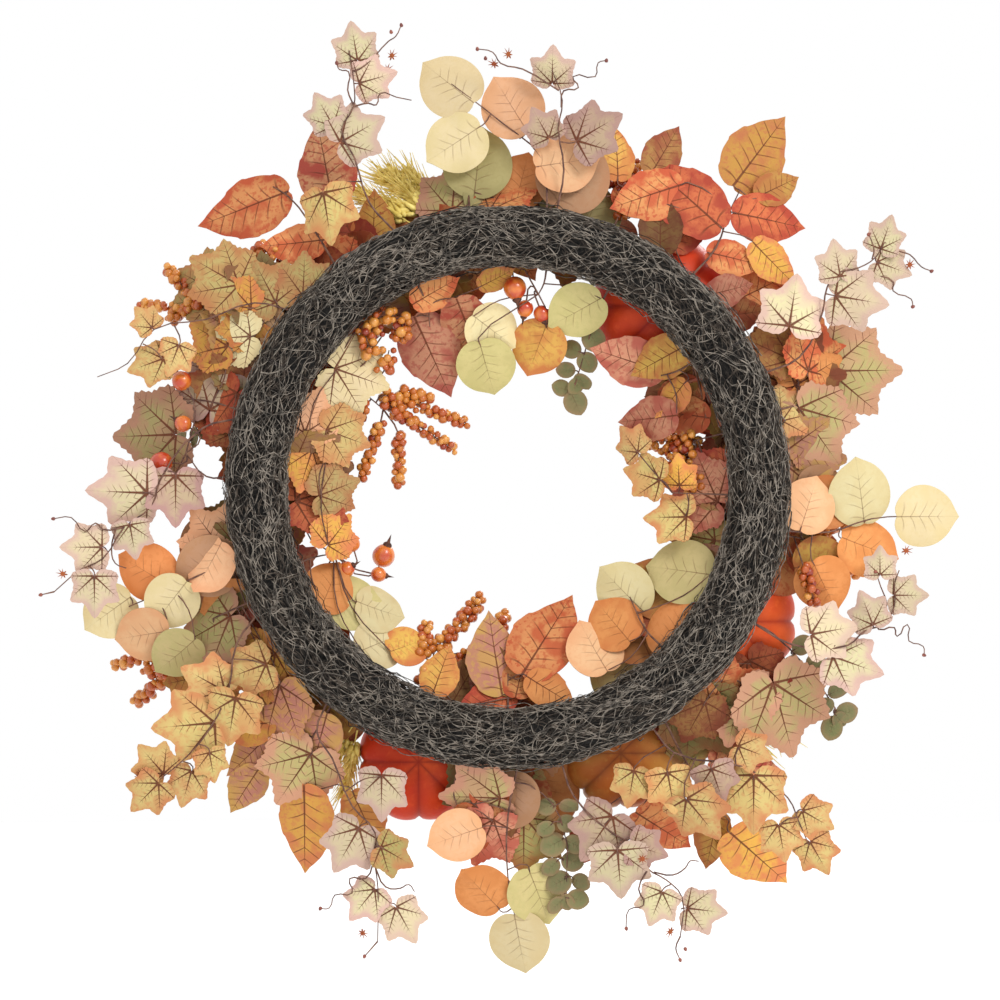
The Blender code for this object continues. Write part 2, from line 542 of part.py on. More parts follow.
def eucalyptus_sprays():
    s = Spray("eucalyptus_spray_left", 284, 44, [(281, 216), (274, 240)], SAGE)
    s.leaf("round", 283, 228, 22, 20).leaf("round", 276, 224, 22, 220).leaf("round", 277, 246, 24, 320)
    s.leaf("round", 269, 246, 22, 260)
    s.front_stem(280).front_leaf("grape", 280, 190, 34, 62, 290).front_leaf("oval", 270, 174, 40, 60, 120)
    s.front_leaf("oval", 291, 172, 30, 58, 80).done()
    s = Spray("eucalyptus_spray_right", 119, 27, [(119, 218), (122, 262), (124, 286)], SAGE)
    s.leaf("round", 122, 300, 24, 110).leaf("round", 117, 262, 24, 80).leaf("round", 125.5, 276, 24, 170)
    s.leaf("round", 125, 244, 22, 170).done()
    s = Spray("eucalyptus_spray_inner", 27, 26, [(27, 142), (29, 118), (33, 90)], SAGE)
    s.leaf("round", 33, 76, 22, 210).leaf("round", 20, 126, 20, 260).leaf("round", 39, 104, 22, 140)
    s.leaf("round", 23, 98, 20, 280).done()


clear_scene()
vine_ring()
ring_hoop()
for tie_number, tie_clock in enumerate(TIE_CLOCKS, 1):
    binding_wire(tie_number, tie_clock)
ivy_vines()
round_leaf_sprays()
cherry_leaf_sprays()
grape_leaf_sprays()
berry_sprays()
rose_hip_sprays()
wheat_sprays()
eucalyptus_sprays()
for pumpkin_name, pumpkin_clock, pumpkin_reach, pumpkin_width, pumpkin_colour in PUMPKINS:
    pumpkin(pumpkin_name, pumpkin_clock, pumpkin_reach, pumpkin_width, pumpkin_colour)
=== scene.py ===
import math
import random

import bpy
from mathutils import Matrix, Vector


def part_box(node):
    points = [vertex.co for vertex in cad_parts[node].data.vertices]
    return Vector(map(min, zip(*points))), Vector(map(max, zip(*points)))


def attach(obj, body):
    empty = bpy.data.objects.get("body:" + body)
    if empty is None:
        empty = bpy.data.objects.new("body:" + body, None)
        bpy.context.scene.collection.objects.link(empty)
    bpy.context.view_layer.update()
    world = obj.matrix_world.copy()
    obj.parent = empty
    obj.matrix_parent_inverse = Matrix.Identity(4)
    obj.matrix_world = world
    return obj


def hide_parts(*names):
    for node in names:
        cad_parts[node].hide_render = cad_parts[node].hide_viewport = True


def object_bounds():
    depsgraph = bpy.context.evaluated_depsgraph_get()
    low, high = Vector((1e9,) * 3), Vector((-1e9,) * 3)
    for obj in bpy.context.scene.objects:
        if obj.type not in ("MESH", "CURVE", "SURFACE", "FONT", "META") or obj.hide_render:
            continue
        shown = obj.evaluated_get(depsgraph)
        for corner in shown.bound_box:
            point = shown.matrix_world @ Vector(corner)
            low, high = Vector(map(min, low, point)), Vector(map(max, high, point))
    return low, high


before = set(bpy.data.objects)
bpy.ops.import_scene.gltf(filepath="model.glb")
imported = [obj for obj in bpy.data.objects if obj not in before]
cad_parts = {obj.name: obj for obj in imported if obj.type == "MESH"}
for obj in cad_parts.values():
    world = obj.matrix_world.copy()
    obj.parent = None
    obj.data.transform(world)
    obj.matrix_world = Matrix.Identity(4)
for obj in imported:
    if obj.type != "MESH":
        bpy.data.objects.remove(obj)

cad_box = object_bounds()
MM = 0.001

# --- Studio --------------------------------------------------------------------------------------
# The wreath hangs with its back to the camera, in soft white light, just above a pale floor. The
# lens is long and looks straight at the ring.
ring_low, ring_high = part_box("vine_ring")
BUNDLE_RADIUS = 0.0215
RING_RADIUS = (ring_high.x - ring_low.x) / 2 - BUNDLE_RADIUS
CENTRE_Z = (ring_high.z + ring_low.z) / 2
CAMERA_AWAY = 4.0
FRAME_WIDTH = 0.715
SENSOR = 0.036

world = bpy.data.worlds.new("white_room")
bpy.context.scene.world = world
world.use_nodes = True
world.node_tree.nodes["Background"].inputs["Color"].default_value = (1.0, 1.0, 1.0, 1.0)
world.node_tree.nodes["Background"].inputs["Strength"].default_value = 1.0

camera = bpy.data.objects.new("camera", bpy.data.cameras.new("camera"))
bpy.context.scene.collection.objects.link(camera)
camera.location = (0.0057, CAMERA_AWAY, CENTRE_Z - 0.0093)
camera.rotation_euler = (math.radians(90), 0.0, math.radians(180))
camera.data.sensor_width = SENSOR * 1000
camera.data.lens = SENSOR * 1000 * CAMERA_AWAY / FRAME_WIDTH
camera.data.clip_end = 50.0
bpy.context.scene.camera = camera
bpy.context.scene.view_settings.view_transform = "Standard"


def soft_light(name, place, size, power):
    lamp = bpy.data.lights.new(name, "AREA")
    lamp.size = size
    lamp.energy = power
    light = bpy.data.objects.new(name, lamp)
    light.location = place
    aim = Vector((0.0, 0.0, CENTRE_Z)) - Vector(place)
    light.rotation_euler = aim.to_track_quat("-Z", "Y").to_euler()
    bpy.context.scene.collection.objects.link(light)


soft_light("window_light", (-1.3, 1.9, 1.3), 0.8, 34.0)
soft_light("front_light", (-1.2, -2.0, 1.4), 0.9, 30.0)

bpy.ops.object.select_all(action="DESELECT")
bpy.ops.mesh.primitive_circle_add(
    vertices=64, radius=3.0, fill_type="NGON", location=(0.0, 0.0, cad_box[0].z - 0.06))
floor = bpy.context.object
floor.name = "floor"
paper = bpy.data.materials.new("floor_paper")
paper.use_nodes = True
paper.node_tree.nodes["Principled BSDF"].inputs["Base Color"].default_value = (0.95, 0.95, 0.95, 1.0)
paper.node_tree.nodes["Principled BSDF"].inputs["Roughness"].default_value = 0.9
floor.data.materials.append(paper)


# --- Vine bundle ---------------------------------------------------------------------------------
# Hundreds of fine dry vine twigs, wound round a steel hoop into one round bundle and pinched by
# thin wires. The core is a mat of twigs painted near black, as painted shade deep in the bundle,
# and the twigs that show are separate curled strands.
random.seed(11)


def spot(clock, reach, depth=0.0):
    """A place on the wreath: clock angle as seen from behind, reach from the centre in millimetres."""
    a = math.radians(clock)
    return Vector((-reach * MM * math.sin(a), depth, CENTRE_Z + reach * MM * math.cos(a)))


def heading(clock):
    a = math.radians(clock)
    return Vector((-math.sin(a), 0.0, math.cos(a)))


def only(*objects):
    """Selects these objects and makes the first one active."""
    bpy.ops.object.select_all(action="DESELECT")
    for ob in objects:
        ob.select_set(True)
    bpy.context.view_layer.objects.active = objects[0]


def smooth(ob, angle=None):
    only(ob)
    if angle is None:
        bpy.ops.object.shade_smooth()
    else:
        bpy.ops.object.shade_smooth_by_angle(angle=math.radians(angle))


def joined(name, objects):
    only(*objects)
    if len(objects) > 1:
        bpy.ops.object.join()
    piece = bpy.context.view_layer.objects.active
    piece.name = piece.data.name = name
    return piece


def settle(piece, nodes, body, finish):
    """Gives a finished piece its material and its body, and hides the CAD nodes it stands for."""
    piece.data.materials.clear()
    piece.data.materials.append(finish)
    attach(piece, body)
    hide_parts(*nodes)


def wires(name, routes, sides=0, steps=4):
    """Round wires through points, each with a radius at its start and its end, as one closed mesh."""
    curve = bpy.data.curves.new(name, "CURVE")
    curve.dimensions = "3D"
    curve.bevel_depth = 1.0
    curve.bevel_resolution = sides
    curve.resolution_u = steps
    curve.use_fill_caps = True
    for points, start, end in routes:
        spline = curve.splines.new("BEZIER")
        spline.bezier_points.add(len(points) - 1)
        for i, (knot, point) in enumerate(zip(spline.bezier_points, points)):
            knot.co = point
            knot.handle_left_type = knot.handle_right_type = "AUTO"
            knot.radius = start + (end - start) * i / (len(points) - 1)
    ob = bpy.data.objects.new(name, curve)
    bpy.context.scene.collection.objects.link(ob)
    only(ob)
    bpy.ops.object.convert(target="MESH")
    smooth(ob)
    return bpy.context.view_layer.objects.active


def new_finish(name, roughness, metallic=0.0):
    mat = bpy.data.materials.new(name)
    mat.use_nodes = True
    shader = mat.node_tree.nodes["Principled BSDF"]
    shader.inputs["Roughness"].default_value = roughness
    shader.inputs["Metallic"].default_value = metallic
    return mat, mat.node_tree, shader


def node(tree, kind, **settings):
    made = tree.nodes.new("ShaderNode" + kind)
    for key, value in settings.items():
        setattr(made, key, value)
    return made


def feed(tree, socket, value):
    """Puts a number, a colour or another node's output into a socket."""
    if isinstance(value, bpy.types.NodeSocket):
        tree.links.new(value, socket)
    else:
        socket.default_value = value


def maths(tree, operation, *values):
    made = node(tree, "Math", operation=operation)
    for socket, value in zip(made.inputs, values):
        feed(tree, socket, value)
    return made.outputs[0]


def ramp(tree, value, low, high, start=0.0, end=1.0):
    """A smooth step of a value between low and high."""
    made = node(tree, "MapRange", interpolation_type="SMOOTHSTEP")
    settings = {"Value": value, "From Min": low, "From Max": high, "To Min": start, "To Max": end}
    for name, setting in settings.items():
        feed(tree, made.inputs[name], setting)
    return made.outputs["Result"]


def blend(tree, factor, first, second):
    made = node(tree, "Mix", data_type="RGBA")
    feed(tree, made.inputs[0], factor)
    feed(tree, made.inputs[6], first)
    feed(tree, made.inputs[7], second)
    return made.outputs[2]


def noise(tree, scale, detail=2.0, vector=None):
    made = node(tree, "TexNoise")
    made.inputs["Scale"].default_value = scale
    made.inputs["Detail"].default_value = detail
    if vector is None:
        vector = node(tree, "TexCoord").outputs["Object"]
    tree.links.new(vector, made.inputs["Vector"])
    return made.outputs["Fac"]


def bump(tree, shader, height, distance, strength=1.0):
    made = node(tree, "Bump")
    made.inputs["Distance"].default_value = distance
    made.inputs["Strength"].default_value = strength
    tree.links.new(height, made.inputs["Height"])
    tree.links.new(made.outputs["Normal"], shader.inputs["Normal"])


def new_group(name, inputs, outputs):
    """A node group with sockets given as name and kind, and what goes into it and comes out of it."""
    group = bpy.data.node_groups.new(name, "ShaderNodeTree")
    for way, sockets in (("INPUT", inputs), ("OUTPUT", outputs)):
        for label, kind in sockets:
            group.interface.new_socket(label, in_out=way, socket_type="NodeSocket" + kind)
    return group, group.nodes.new("NodeGroupInput").outputs, group.nodes.new("NodeGroupOutput").inputs


def placed(tree, group, values):
    """A group's outputs, once it stands in a material with these values."""
    made = node(tree, "Group", node_tree=group)
    for label, value in values.items():
        feed(tree, made.inputs[label], value)
    return made.outputs


twig_bark, given, result = new_group(
    "twig_bark", (("Dark", "Color"), ("Light", "Color")), (("Color", "Color"), ("Grain", "Float")))
bark_streaks = ramp(twig_bark, noise(twig_bark, 240.0, 3.0), 0.36, 0.64)
feed(twig_bark, result["Color"], blend(twig_bark, bark_streaks, given["Dark"], given["Light"]))
feed(twig_bark, result["Grain"], noise(twig_bark, 1500.0))


def twig_finish(name, dark, light, roughness):
    """Dry twig: two greys in short streaks, with a fine bark grain."""
    finish, tree, shader = new_finish(name, roughness)
    bark = placed(tree, twig_bark, {"Dark": dark, "Light": light})
    shader.inputs["Specular IOR Level"].default_value = 0.3
    feed(tree, shader.inputs["Base Color"], bark["Color"])
    bump(tree, shader, bark["Grain"], 0.0003)
    return finish


# Tone, strands in each quarter of the ring, how deep and how high they lie, and their finish.
# The dark tone, laid deepest, is near black as painted shade between the strands; the grey tone,
# laid highest, is grey bark whose light end is a painted highlight.
TWIG_TONES = (
    ("dark", 230, -0.0032, -0.0008,
     twig_finish("twig_dark_painted_shade", (0.006, 0.005, 0.004, 1), (0.028, 0.022, 0.017, 1), 0.7)),
    ("brown", 370, -0.0020, 0.0004,
     twig_finish("twig_brown", (0.020, 0.014, 0.010, 1), (0.100, 0.078, 0.060, 1), 0.6)),
    ("grey", 400, -0.0010, 0.0010,
     twig_finish("twig_grey_and_painted_highlight", (0.070, 0.060, 0.050, 1), (0.29, 0.25, 0.205, 1), 0.5)),
)

# Painted shade: the core is near black, so the gaps between the strands stay dark as shade.
core_shade_finish, tree, shader = new_finish("twig_core_painted_shade", 0.9)
mat_grain = ramp(tree, noise(tree, 420.0, 4.0), 0.4, 0.7)
feed(tree, shader.inputs["Base Color"],
     blend(tree, mat_grain, (0.004, 0.0035, 0.003, 1), (0.025, 0.022, 0.019, 1)))
bump(tree, shader, noise(tree, 700.0, 4.0), 0.002)

BACK_FLAT = ring_high.y
PINCHES = 18
CORE_RADIUS = 0.0185
bpy.ops.object.select_all(action="DESELECT")
bpy.ops.mesh.primitive_torus_add(
    major_segments=120, minor_segments=20, major_radius=RING_RADIUS, minor_radius=CORE_RADIUS,
    location=(0, 0, CENTRE_Z), rotation=(math.radians(90), 0, 0))
core = bpy.context.object
core.name = "vine_core"
bpy.ops.object.transform_apply(location=True, rotation=True, scale=True)
for vert in core.data.vertices:
    vert.co.y = min(vert.co.y, BACK_FLAT - 0.0035)
smooth(core)
settle(core, ["vine_ring"], "wreath", core_shade_finish)

STRAND_STEP = 0.0062
STRAND_RADIUS = 0.00044


def bundle_radius(clock):
    """How full the bundle is: it swells between the places where it is pinched."""
    return 1.0 - 0.05 * math.cos(math.radians(clock + 2) * PINCHES / 2) ** 6


def strand(clock, turn, height, steps, wander):
    """A twig that runs along the bundle and strays round it. Turn is its angle in the section."""
    points = []
    course = random.gauss(0.0, 0.4)
    for _ in range(steps):
        r = (BUNDLE_RADIUS + height + random.gauss(0, 0.0007)) * bundle_radius(clock)
        depth = min(r * math.sin(turn), BACK_FLAT + height * 0.5)
        points.append(spot(clock, (RING_RADIUS + r * math.cos(turn)) / MM, depth))
        course = course * 0.80 + random.gauss(0.0, wander)
        clock += math.degrees(STRAND_STEP * math.cos(course) / RING_RADIUS)
        turn += STRAND_STEP * math.sin(course) / BUNDLE_RADIUS
    return points


for quarter in range(4):
    for tone, count, deep, high, finish in TWIG_TONES:
        routes = []
        for _ in range(count):
            clock = quarter * 90 + random.uniform(0, 90)
            turn = random.uniform(0, 2 * math.pi)
            loose = random.random() < 0.05
            height = random.uniform(0.001, 0.0040) if loose else random.uniform(deep, high)
            size = STRAND_RADIUS * random.uniform(0.6, 1.05)
            routes.append((strand(clock, turn, height, random.randint(9, 17), 0.45), size, size * 0.6))
        twigs = wires("vine_twigs_%s_%d" % (tone, quarter + 1), routes, 0, 2)
        settle(twigs, ["vine_ring"], "wreath", finish)


# --- Hoop and binding wires ----------------------------------------------------------------------
# The hoop is a welded ring of steel wire inside the bundle. The ties are thin annealed wires, each
# wound twice round the bundle and twisted off at the front.
wire_finish, tree, shader = new_finish("annealed_wire", 0.45, 0.8)
scale = ramp(tree, noise(tree, 400.0, 3.0), 0.4, 0.7)
feed(tree, shader.inputs["Base Color"], blend(tree, scale, (0.035, 0.03, 0.028, 1), (0.14, 0.12, 0.11, 1)))
bump(tree, shader, noise(tree, 1200.0), 0.0001)
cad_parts["ring_hoop"].data.materials.clear()
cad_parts["ring_hoop"].data.materials.append(wire_finish)

TIE_OUT = 0.0212
TIE_WIRE = 0.00035
for number, clock in enumerate((58, 178, 298), 1):
    loops = []
    for step in range(49):
        turn = math.radians(-90 + step * 15)
        away = TIE_OUT + 0.0004 * math.sin(step)
        depth = min(away * math.sin(turn), BACK_FLAT - 0.0006)
        loops.append(spot(clock + (step - 24) * 0.018, (RING_RADIUS + away * math.cos(turn)) / MM, depth))
    tails = []
    for phase in (0.0, math.pi):
        tail = [loops[0] if phase == 0.0 else loops[-1]]
        for step in range(1, 10):
            swing = phase + step * 1.4
            reach = RING_RADIUS / MM + 0.5 * math.sin(swing) + step * 0.5
            tail.append(spot(clock + 0.20 * math.cos(swing), reach, -TIE_OUT - step * 0.0003))
        tails.append((tail, TIE_WIRE, TIE_WIRE))
    tie = wires("binding_wire_%d_twisted" % number, [(loops, TIE_WIRE, TIE_WIRE)] + tails, 1, 2)
    settle(tie, ["binding_wire_%d" % number], "wreath", wire_finish)


# --- Pumpkins and gourd --------------------------------------------------------------------------
# Four hollow foam-plastic pumpkins, ribbed and painted with a satin coat, wired flat against the
# front of the bundle. Each has a separate ribbed stem glued into its dimple.
# Each paint: a name, then skin, glow and the groove colour, which is painted shade down the creases.
PUMPKIN_PAINTS = {
    "red_pumpkin_right": (
        "pumpkin_red", (0.52, 0.028, 0.010, 1), (0.66, 0.070, 0.016, 1), (0.24, 0.010, 0.006, 1)),
    "orange_pumpkin_right": (
        "pumpkin_orange", (0.60, 0.060, 0.014, 1), (0.74, 0.12, 0.025, 1), (0.32, 0.025, 0.010, 1)),
    "ribbed_gourd": (
        "gourd_brown", (0.42, 0.11, 0.020, 1), (0.52, 0.24, 0.05, 1), (0.18, 0.045, 0.012, 1)),
    "red_pumpkin_left": (
        "pumpkin_red", (0.55, 0.036, 0.010, 1), (0.70, 0.09, 0.018, 1), (0.26, 0.014, 0.007, 1)),
}
RIBS = 8
bellies = []


pumpkin_skin, given, result = new_group(
    "pumpkin_skin", (("Skin", "Color"), ("Glow", "Color"), ("Groove Shade", "Color"), ("Depth", "Float")),
    (("Color", "Color"), ("Pits", "Float")))
clouds = ramp(pumpkin_skin, noise(pumpkin_skin, 26.0, 3.0), 0.35, 0.68)
streaks = ramp(pumpkin_skin, noise(pumpkin_skin, 240.0, 2.0), 0.55, 0.75, 0.0, 0.35)
cover = maths(pumpkin_skin, "MINIMUM", maths(pumpkin_skin, "ADD", clouds, streaks), 1.0)
paint = blend(pumpkin_skin, cover, given["Skin"], given["Glow"])
# Painted shade: the paint darkens towards the groove colour down each crease.
groove_shade = maths(pumpkin_skin, "MULTIPLY", given["Depth"], 0.8)
feed(pumpkin_skin, result["Color"], blend(pumpkin_skin, groove_shade, paint, given["Groove Shade"]))
feed(pumpkin_skin, result["Pits"], noise(pumpkin_skin, 300.0, 3.0))


def pumpkin_finish(name, skin, glow, groove):
    """Painted skin: cloudy over two reds, with painted shade darkening it down each groove."""
    finish, tree, shader = new_finish(name, 0.42)
    depth = node(tree, "Attribute", attribute_name="groove").outputs["Fac"]
    coat = placed(tree, pumpkin_skin, {"Skin": skin, "Glow": glow, "Groove Shade": groove, "Depth": depth})
    feed(tree, shader.inputs["Base Color"], coat["Color"])
    shader.inputs["Specular IOR Level"].default_value = 0.15
    bump(tree, shader, coat["Pits"], 0.0005, 0.6)
    return finish


pumpkin_stem_finish, tree, shader = new_finish("pumpkin_stem", 0.75)
fibres = ramp(tree, noise(tree, 380.0, 4.0), 0.35, 0.65)
feed(tree, shader.inputs["Base Color"], blend(tree, fibres, (0.13, 0.10, 0.035, 1), (0.34, 0.28, 0.11, 1)))
bump(tree, shader, noise(tree, 700.0), 0.0008)

for name, (slot, skin, glow, groove) in PUMPKIN_PAINTS.items():
    low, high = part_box(name)
    middle, half = (low + high) / 2, (high.z - low.z) / 2
    depth = (high.y - low.y) / 1.82
    middle.y = high.y - depth * 0.90
    bellies.append((middle, half, depth))
    bpy.ops.object.select_all(action="DESELECT")
    bpy.ops.mesh.primitive_uv_sphere_add(segments=RIBS * 12, ring_count=40, radius=1.0)
    bpy.ops.object.mode_set(mode="EDIT")
    bpy.ops.mesh.select_all(action="SELECT")
    bpy.ops.transform.rotate(value=math.radians(90), orient_axis="X", center_override=(0, 0, 0))
    bpy.ops.object.mode_set(mode="OBJECT")
    belly = bpy.context.object
    ribs = belly.data.attributes.new("groove", "FLOAT", "POINT")
    for vert in belly.data.vertices:
        out, along = math.hypot(vert.co.x, vert.co.z), -vert.co.y
        turn = math.atan2(vert.co.z, vert.co.x)
        crease = 1.0 - abs(math.sin(RIBS * turn / 2)) ** 0.55
        # The groove attribute is the depth of each crease, which the painted shade follows.
        ribs.data[vert.index].value = crease
        swell = (1.0 - 0.10 * crease) * (1 + 0.010 * math.sin(3 * turn + half * 90))
        if along > 0:
            along = 0.97 * along ** 0.8 * (1 - 0.05 * crease) - 0.27 * math.exp(-((out / 0.24) ** 2))
        else:
            along = -0.90 * abs(along) ** 0.72 + 0.06 * math.exp(-((out / 0.22) ** 2))
        turned = out ** 0.86 * swell / max(out, 0.0001)
        vert.co = (middle.x + vert.co.x * turned * half * 0.995, middle.y - along * depth,
                   middle.z + vert.co.z * turned * half * 0.995)
    belly.name = belly.data.name = name + "_body"
    smooth(belly)
    settle(belly, [name], "wreath", pumpkin_finish(name + "_paint", skin, glow, groove))

    low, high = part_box(name + "_stem")
    tall = high.y - low.y
    foot = Vector((middle.x, high.y, middle.z))
    reach = Vector(((low.x + high.x) / 2, low.y, (low.z + high.z) / 2)) - foot
    bpy.ops.object.select_all(action="DESELECT")
    bpy.ops.mesh.primitive_circle_add(vertices=20, radius=1.0, fill_type="NGON")
    bpy.ops.object.mode_set(mode="EDIT")
    for _ in range(9):
        bpy.ops.mesh.extrude_region_move(TRANSFORM_OT_translate={"value": (0, 0, 0.1)})
    bpy.ops.mesh.select_all(action="SELECT")
    bpy.ops.mesh.normals_make_consistent(inside=False)
    bpy.ops.object.mode_set(mode="OBJECT")
    stem = bpy.context.object
    for vert in stem.data.vertices:
        part = vert.co.z / 0.9
        turn = math.atan2(vert.co.y, vert.co.x) + part * 0.5
        size = (0.0058 - 0.0040 * part + 0.0042 * part ** 2) * (1 + 0.16 * math.cos(5 * turn))
        sway = reach * part ** 2 * 0.9
        vert.co = (foot.x + size * math.cos(turn) + sway.x, foot.y - tall * part * 0.98,
                   foot.z + size * math.sin(turn) + sway.z)
    stem.name = stem.data.name = name + "_stem_ribbed"
    only(stem)
    bpy.ops.object.mode_set(mode="EDIT")
    bpy.ops.mesh.select_all(action="SELECT")
    bpy.ops.mesh.normals_make_consistent(inside=False)
    bpy.ops.object.mode_set(mode="OBJECT")
    smooth(stem, 40)
    settle(stem, [name + "_stem"], "wreath", pumpkin_stem_finish)


def clear_of_pumpkins(point, room):
    for middle, half, depth in bellies:
        off = point - middle
        if (off.x ** 2 + off.z ** 2) / (half + room) ** 2 + off.y ** 2 / (depth + room) ** 2 < 1:
            return False
    return True


# --- Leaf blanks and leaf print ------------------------------------------------------------------
# The leaves are die-cut from printed polyester cloth, pressed so that they fold and curl, with a
# brown vein print. Each kind is cut once and copied, and each copy is curled and shaded anew.
OUTLINES = {
    "ivy": (0.36, 64, 0.024, 16, (
        (0, 0.64), (8, 0.56), (18, 0.47), (27, 0.425), (35, 0.43), (46, 0.51), (53, 0.55), (60, 0.50),
        (72, 0.41), (86, 0.385), (98, 0.42), (110, 0.465), (120, 0.44), (138, 0.36), (158, 0.29),
        (180, 0.14))),
    "grape": (0.36, 88, 0.045, 22, (
        (0, 0.64), (9, 0.55), (19, 0.48), (28, 0.45), (38, 0.50), (48, 0.57), (56, 0.53), (68, 0.455),
        (80, 0.46), (92, 0.51), (100, 0.51), (112, 0.45), (126, 0.415), (140, 0.42), (154, 0.37),
        (170, 0.29), (180, 0.15))),
    "round": (0.42, 40, 0.0, 0, (
        (0, 0.60), (6, 0.56), (18, 0.53), (45, 0.50), (90, 0.47), (130, 0.45), (160, 0.43), (174, 0.40),
        (180, 0.38))),
    "oval": (0.44, 64, 0.022, 32, (
        (0, 0.60), (6, 0.52), (16, 0.46), (36, 0.37), (65, 0.325), (100, 0.33), (130, 0.36), (155, 0.40),
        (170, 0.41), (180, 0.40))),
    "coin": (0.45, 20, 0.0, 0, ((0, 0.56), (30, 0.50), (90, 0.44), (150, 0.44), (180, 0.45))),
    "star": (0.45, 28, 0.0, 0, (
        (0, 0.60), (13, 0.20), (26, 0.20), (39, 0.54), (52, 0.20), (64, 0.18), (77, 0.46), (90, 0.18),
        (105, 0.15), (129, 0.38), (154, 0.14), (180, 0.40))),
}
CLOTH = 0.00045


def outline_radius(points, angle):
    """The outline's distance from the blank's middle, at an angle from the tip in degrees."""
    angle = abs((angle + 180) % 360 - 180)
    for (a, ra), (b, rb) in zip(points, points[1:]):
        if a <= angle <= b:
            return ra + (rb - ra) * (angle - a) / (b - a)
    return points[-1][1]


def cut_blank(kind):
    middle, count, tooth, teeth, points = OUTLINES[kind]
    bpy.ops.object.select_all(action="DESELECT")
    bpy.ops.mesh.primitive_circle_add(vertices=count, radius=1.0)
    bpy.ops.object.mode_set(mode="EDIT")
    bpy.ops.mesh.select_all(action="SELECT")
    for shrink in (0.76, 0.62, 0.45):
        bpy.ops.mesh.extrude_edges_move()
        bpy.ops.transform.resize(value=(shrink, shrink, shrink))
    bpy.ops.mesh.extrude_edges_move()
    bpy.ops.mesh.merge(type="CENTER")
    bpy.ops.mesh.select_all(action="SELECT")
    bpy.ops.mesh.normals_make_consistent(inside=False)
    bpy.ops.object.mode_set(mode="OBJECT")
    blank = bpy.context.object
    rim = blank.data.attributes.new("rim", "FLOAT", "POINT")
    print_map = blank.data.uv_layers.new(name="leaf")
    for vert in blank.data.vertices:
        part = min(vert.co.length, 1.0)
        angle = math.degrees(math.atan2(vert.co.y, vert.co.x))
        notch = 1.0 + tooth * (2 * ((abs(angle) * teeth / 180) % 1.0) - 1) * part ** 4
        reach = outline_radius(points, angle) * part * notch
        a = math.radians(angle)
        rim.data[vert.index].value = part
        vert.co = (middle + reach * math.cos(a), reach * math.sin(a), 0.0)
    for loop in blank.data.loops:
        place = blank.data.vertices[loop.vertex_index].co
        print_map.data[loop.index].uv = (place.x, place.y + 0.5)
    for name in ("ground", "blush"):
        blank.data.attributes.new(name, "FLOAT_COLOR", "POINT")
    cut = blank.data
    bpy.data.objects.remove(blank)
    return cut


blanks = {kind: cut_blank(kind) for kind in OUTLINES}

# Ground colour and how far its rim takes the blush, then the blush and how far it mottles the blade
PRINTS = {
    "cream": ((0.76, 0.63, 0.36, 0.3), (0.70, 0.54, 0.26, 0.35)),
    "olive": ((0.60, 0.50, 0.22, 0.3), (0.50, 0.43, 0.17, 0.5)),
    "peach": ((0.82, 0.47, 0.26, 0.4), (0.76, 0.36, 0.17, 0.4)),
    "apricot": ((0.78, 0.31, 0.10, 0.4), (0.66, 0.22, 0.06, 0.5)),
    "orange": ((0.80, 0.34, 0.12, 0.4), (0.62, 0.12, 0.045, 0.9)),
    "sunny": ((0.80, 0.42, 0.08, 0.4), (0.74, 0.24, 0.09, 0.8)),
    "speckle": ((0.82, 0.38, 0.19, 0.3), (0.56, 0.10, 0.06, 1.0)),
    "red": ((0.66, 0.17, 0.06, 0.4), (0.44, 0.06, 0.03, 0.8)),
    "plum": ((0.66, 0.28, 0.19, 0.3), (0.76, 0.42, 0.12, 0.8)),
    "rosy": ((0.80, 0.36, 0.21, 0.3), (0.60, 0.15, 0.10, 0.9)),
    "ivy": ((0.68, 0.59, 0.35, 1.0), (0.64, 0.44, 0.35, 0.45)),
    "mauve": ((0.56, 0.42, 0.26, 1.0), (0.50, 0.30, 0.25, 0.6)),
    "lemon": ((0.64, 0.48, 0.18, 0.5), (0.60, 0.25, 0.10, 0.6)),
    "grape": ((0.54, 0.46, 0.18, 1.0), (0.64, 0.33, 0.20, 0.6)),
    "golden": ((0.72, 0.42, 0.09, 0.5), (0.60, 0.20, 0.06, 0.7)),
    "brown": ((0.46, 0.23, 0.07, 0.4), (0.34, 0.09, 0.04, 0.8)),
    "moss": ((0.48, 0.42, 0.14, 0.4), (0.60, 0.25, 0.10, 0.6)),
    "star": ((0.38, 0.10, 0.03, 0.2), (0.24, 0.04, 0.02, 0.5)),
    "sage": ((0.20, 0.20, 0.085, 0.6), (0.30, 0.20, 0.10, 0.4)),
}


VEIN_BROWN = (0.13, 0.032, 0.012, 1.0)
VEIN_MAP = ("Stalk", "Side Angle", "Low Angle", "Rows", "Reach", "Width", "Spread")


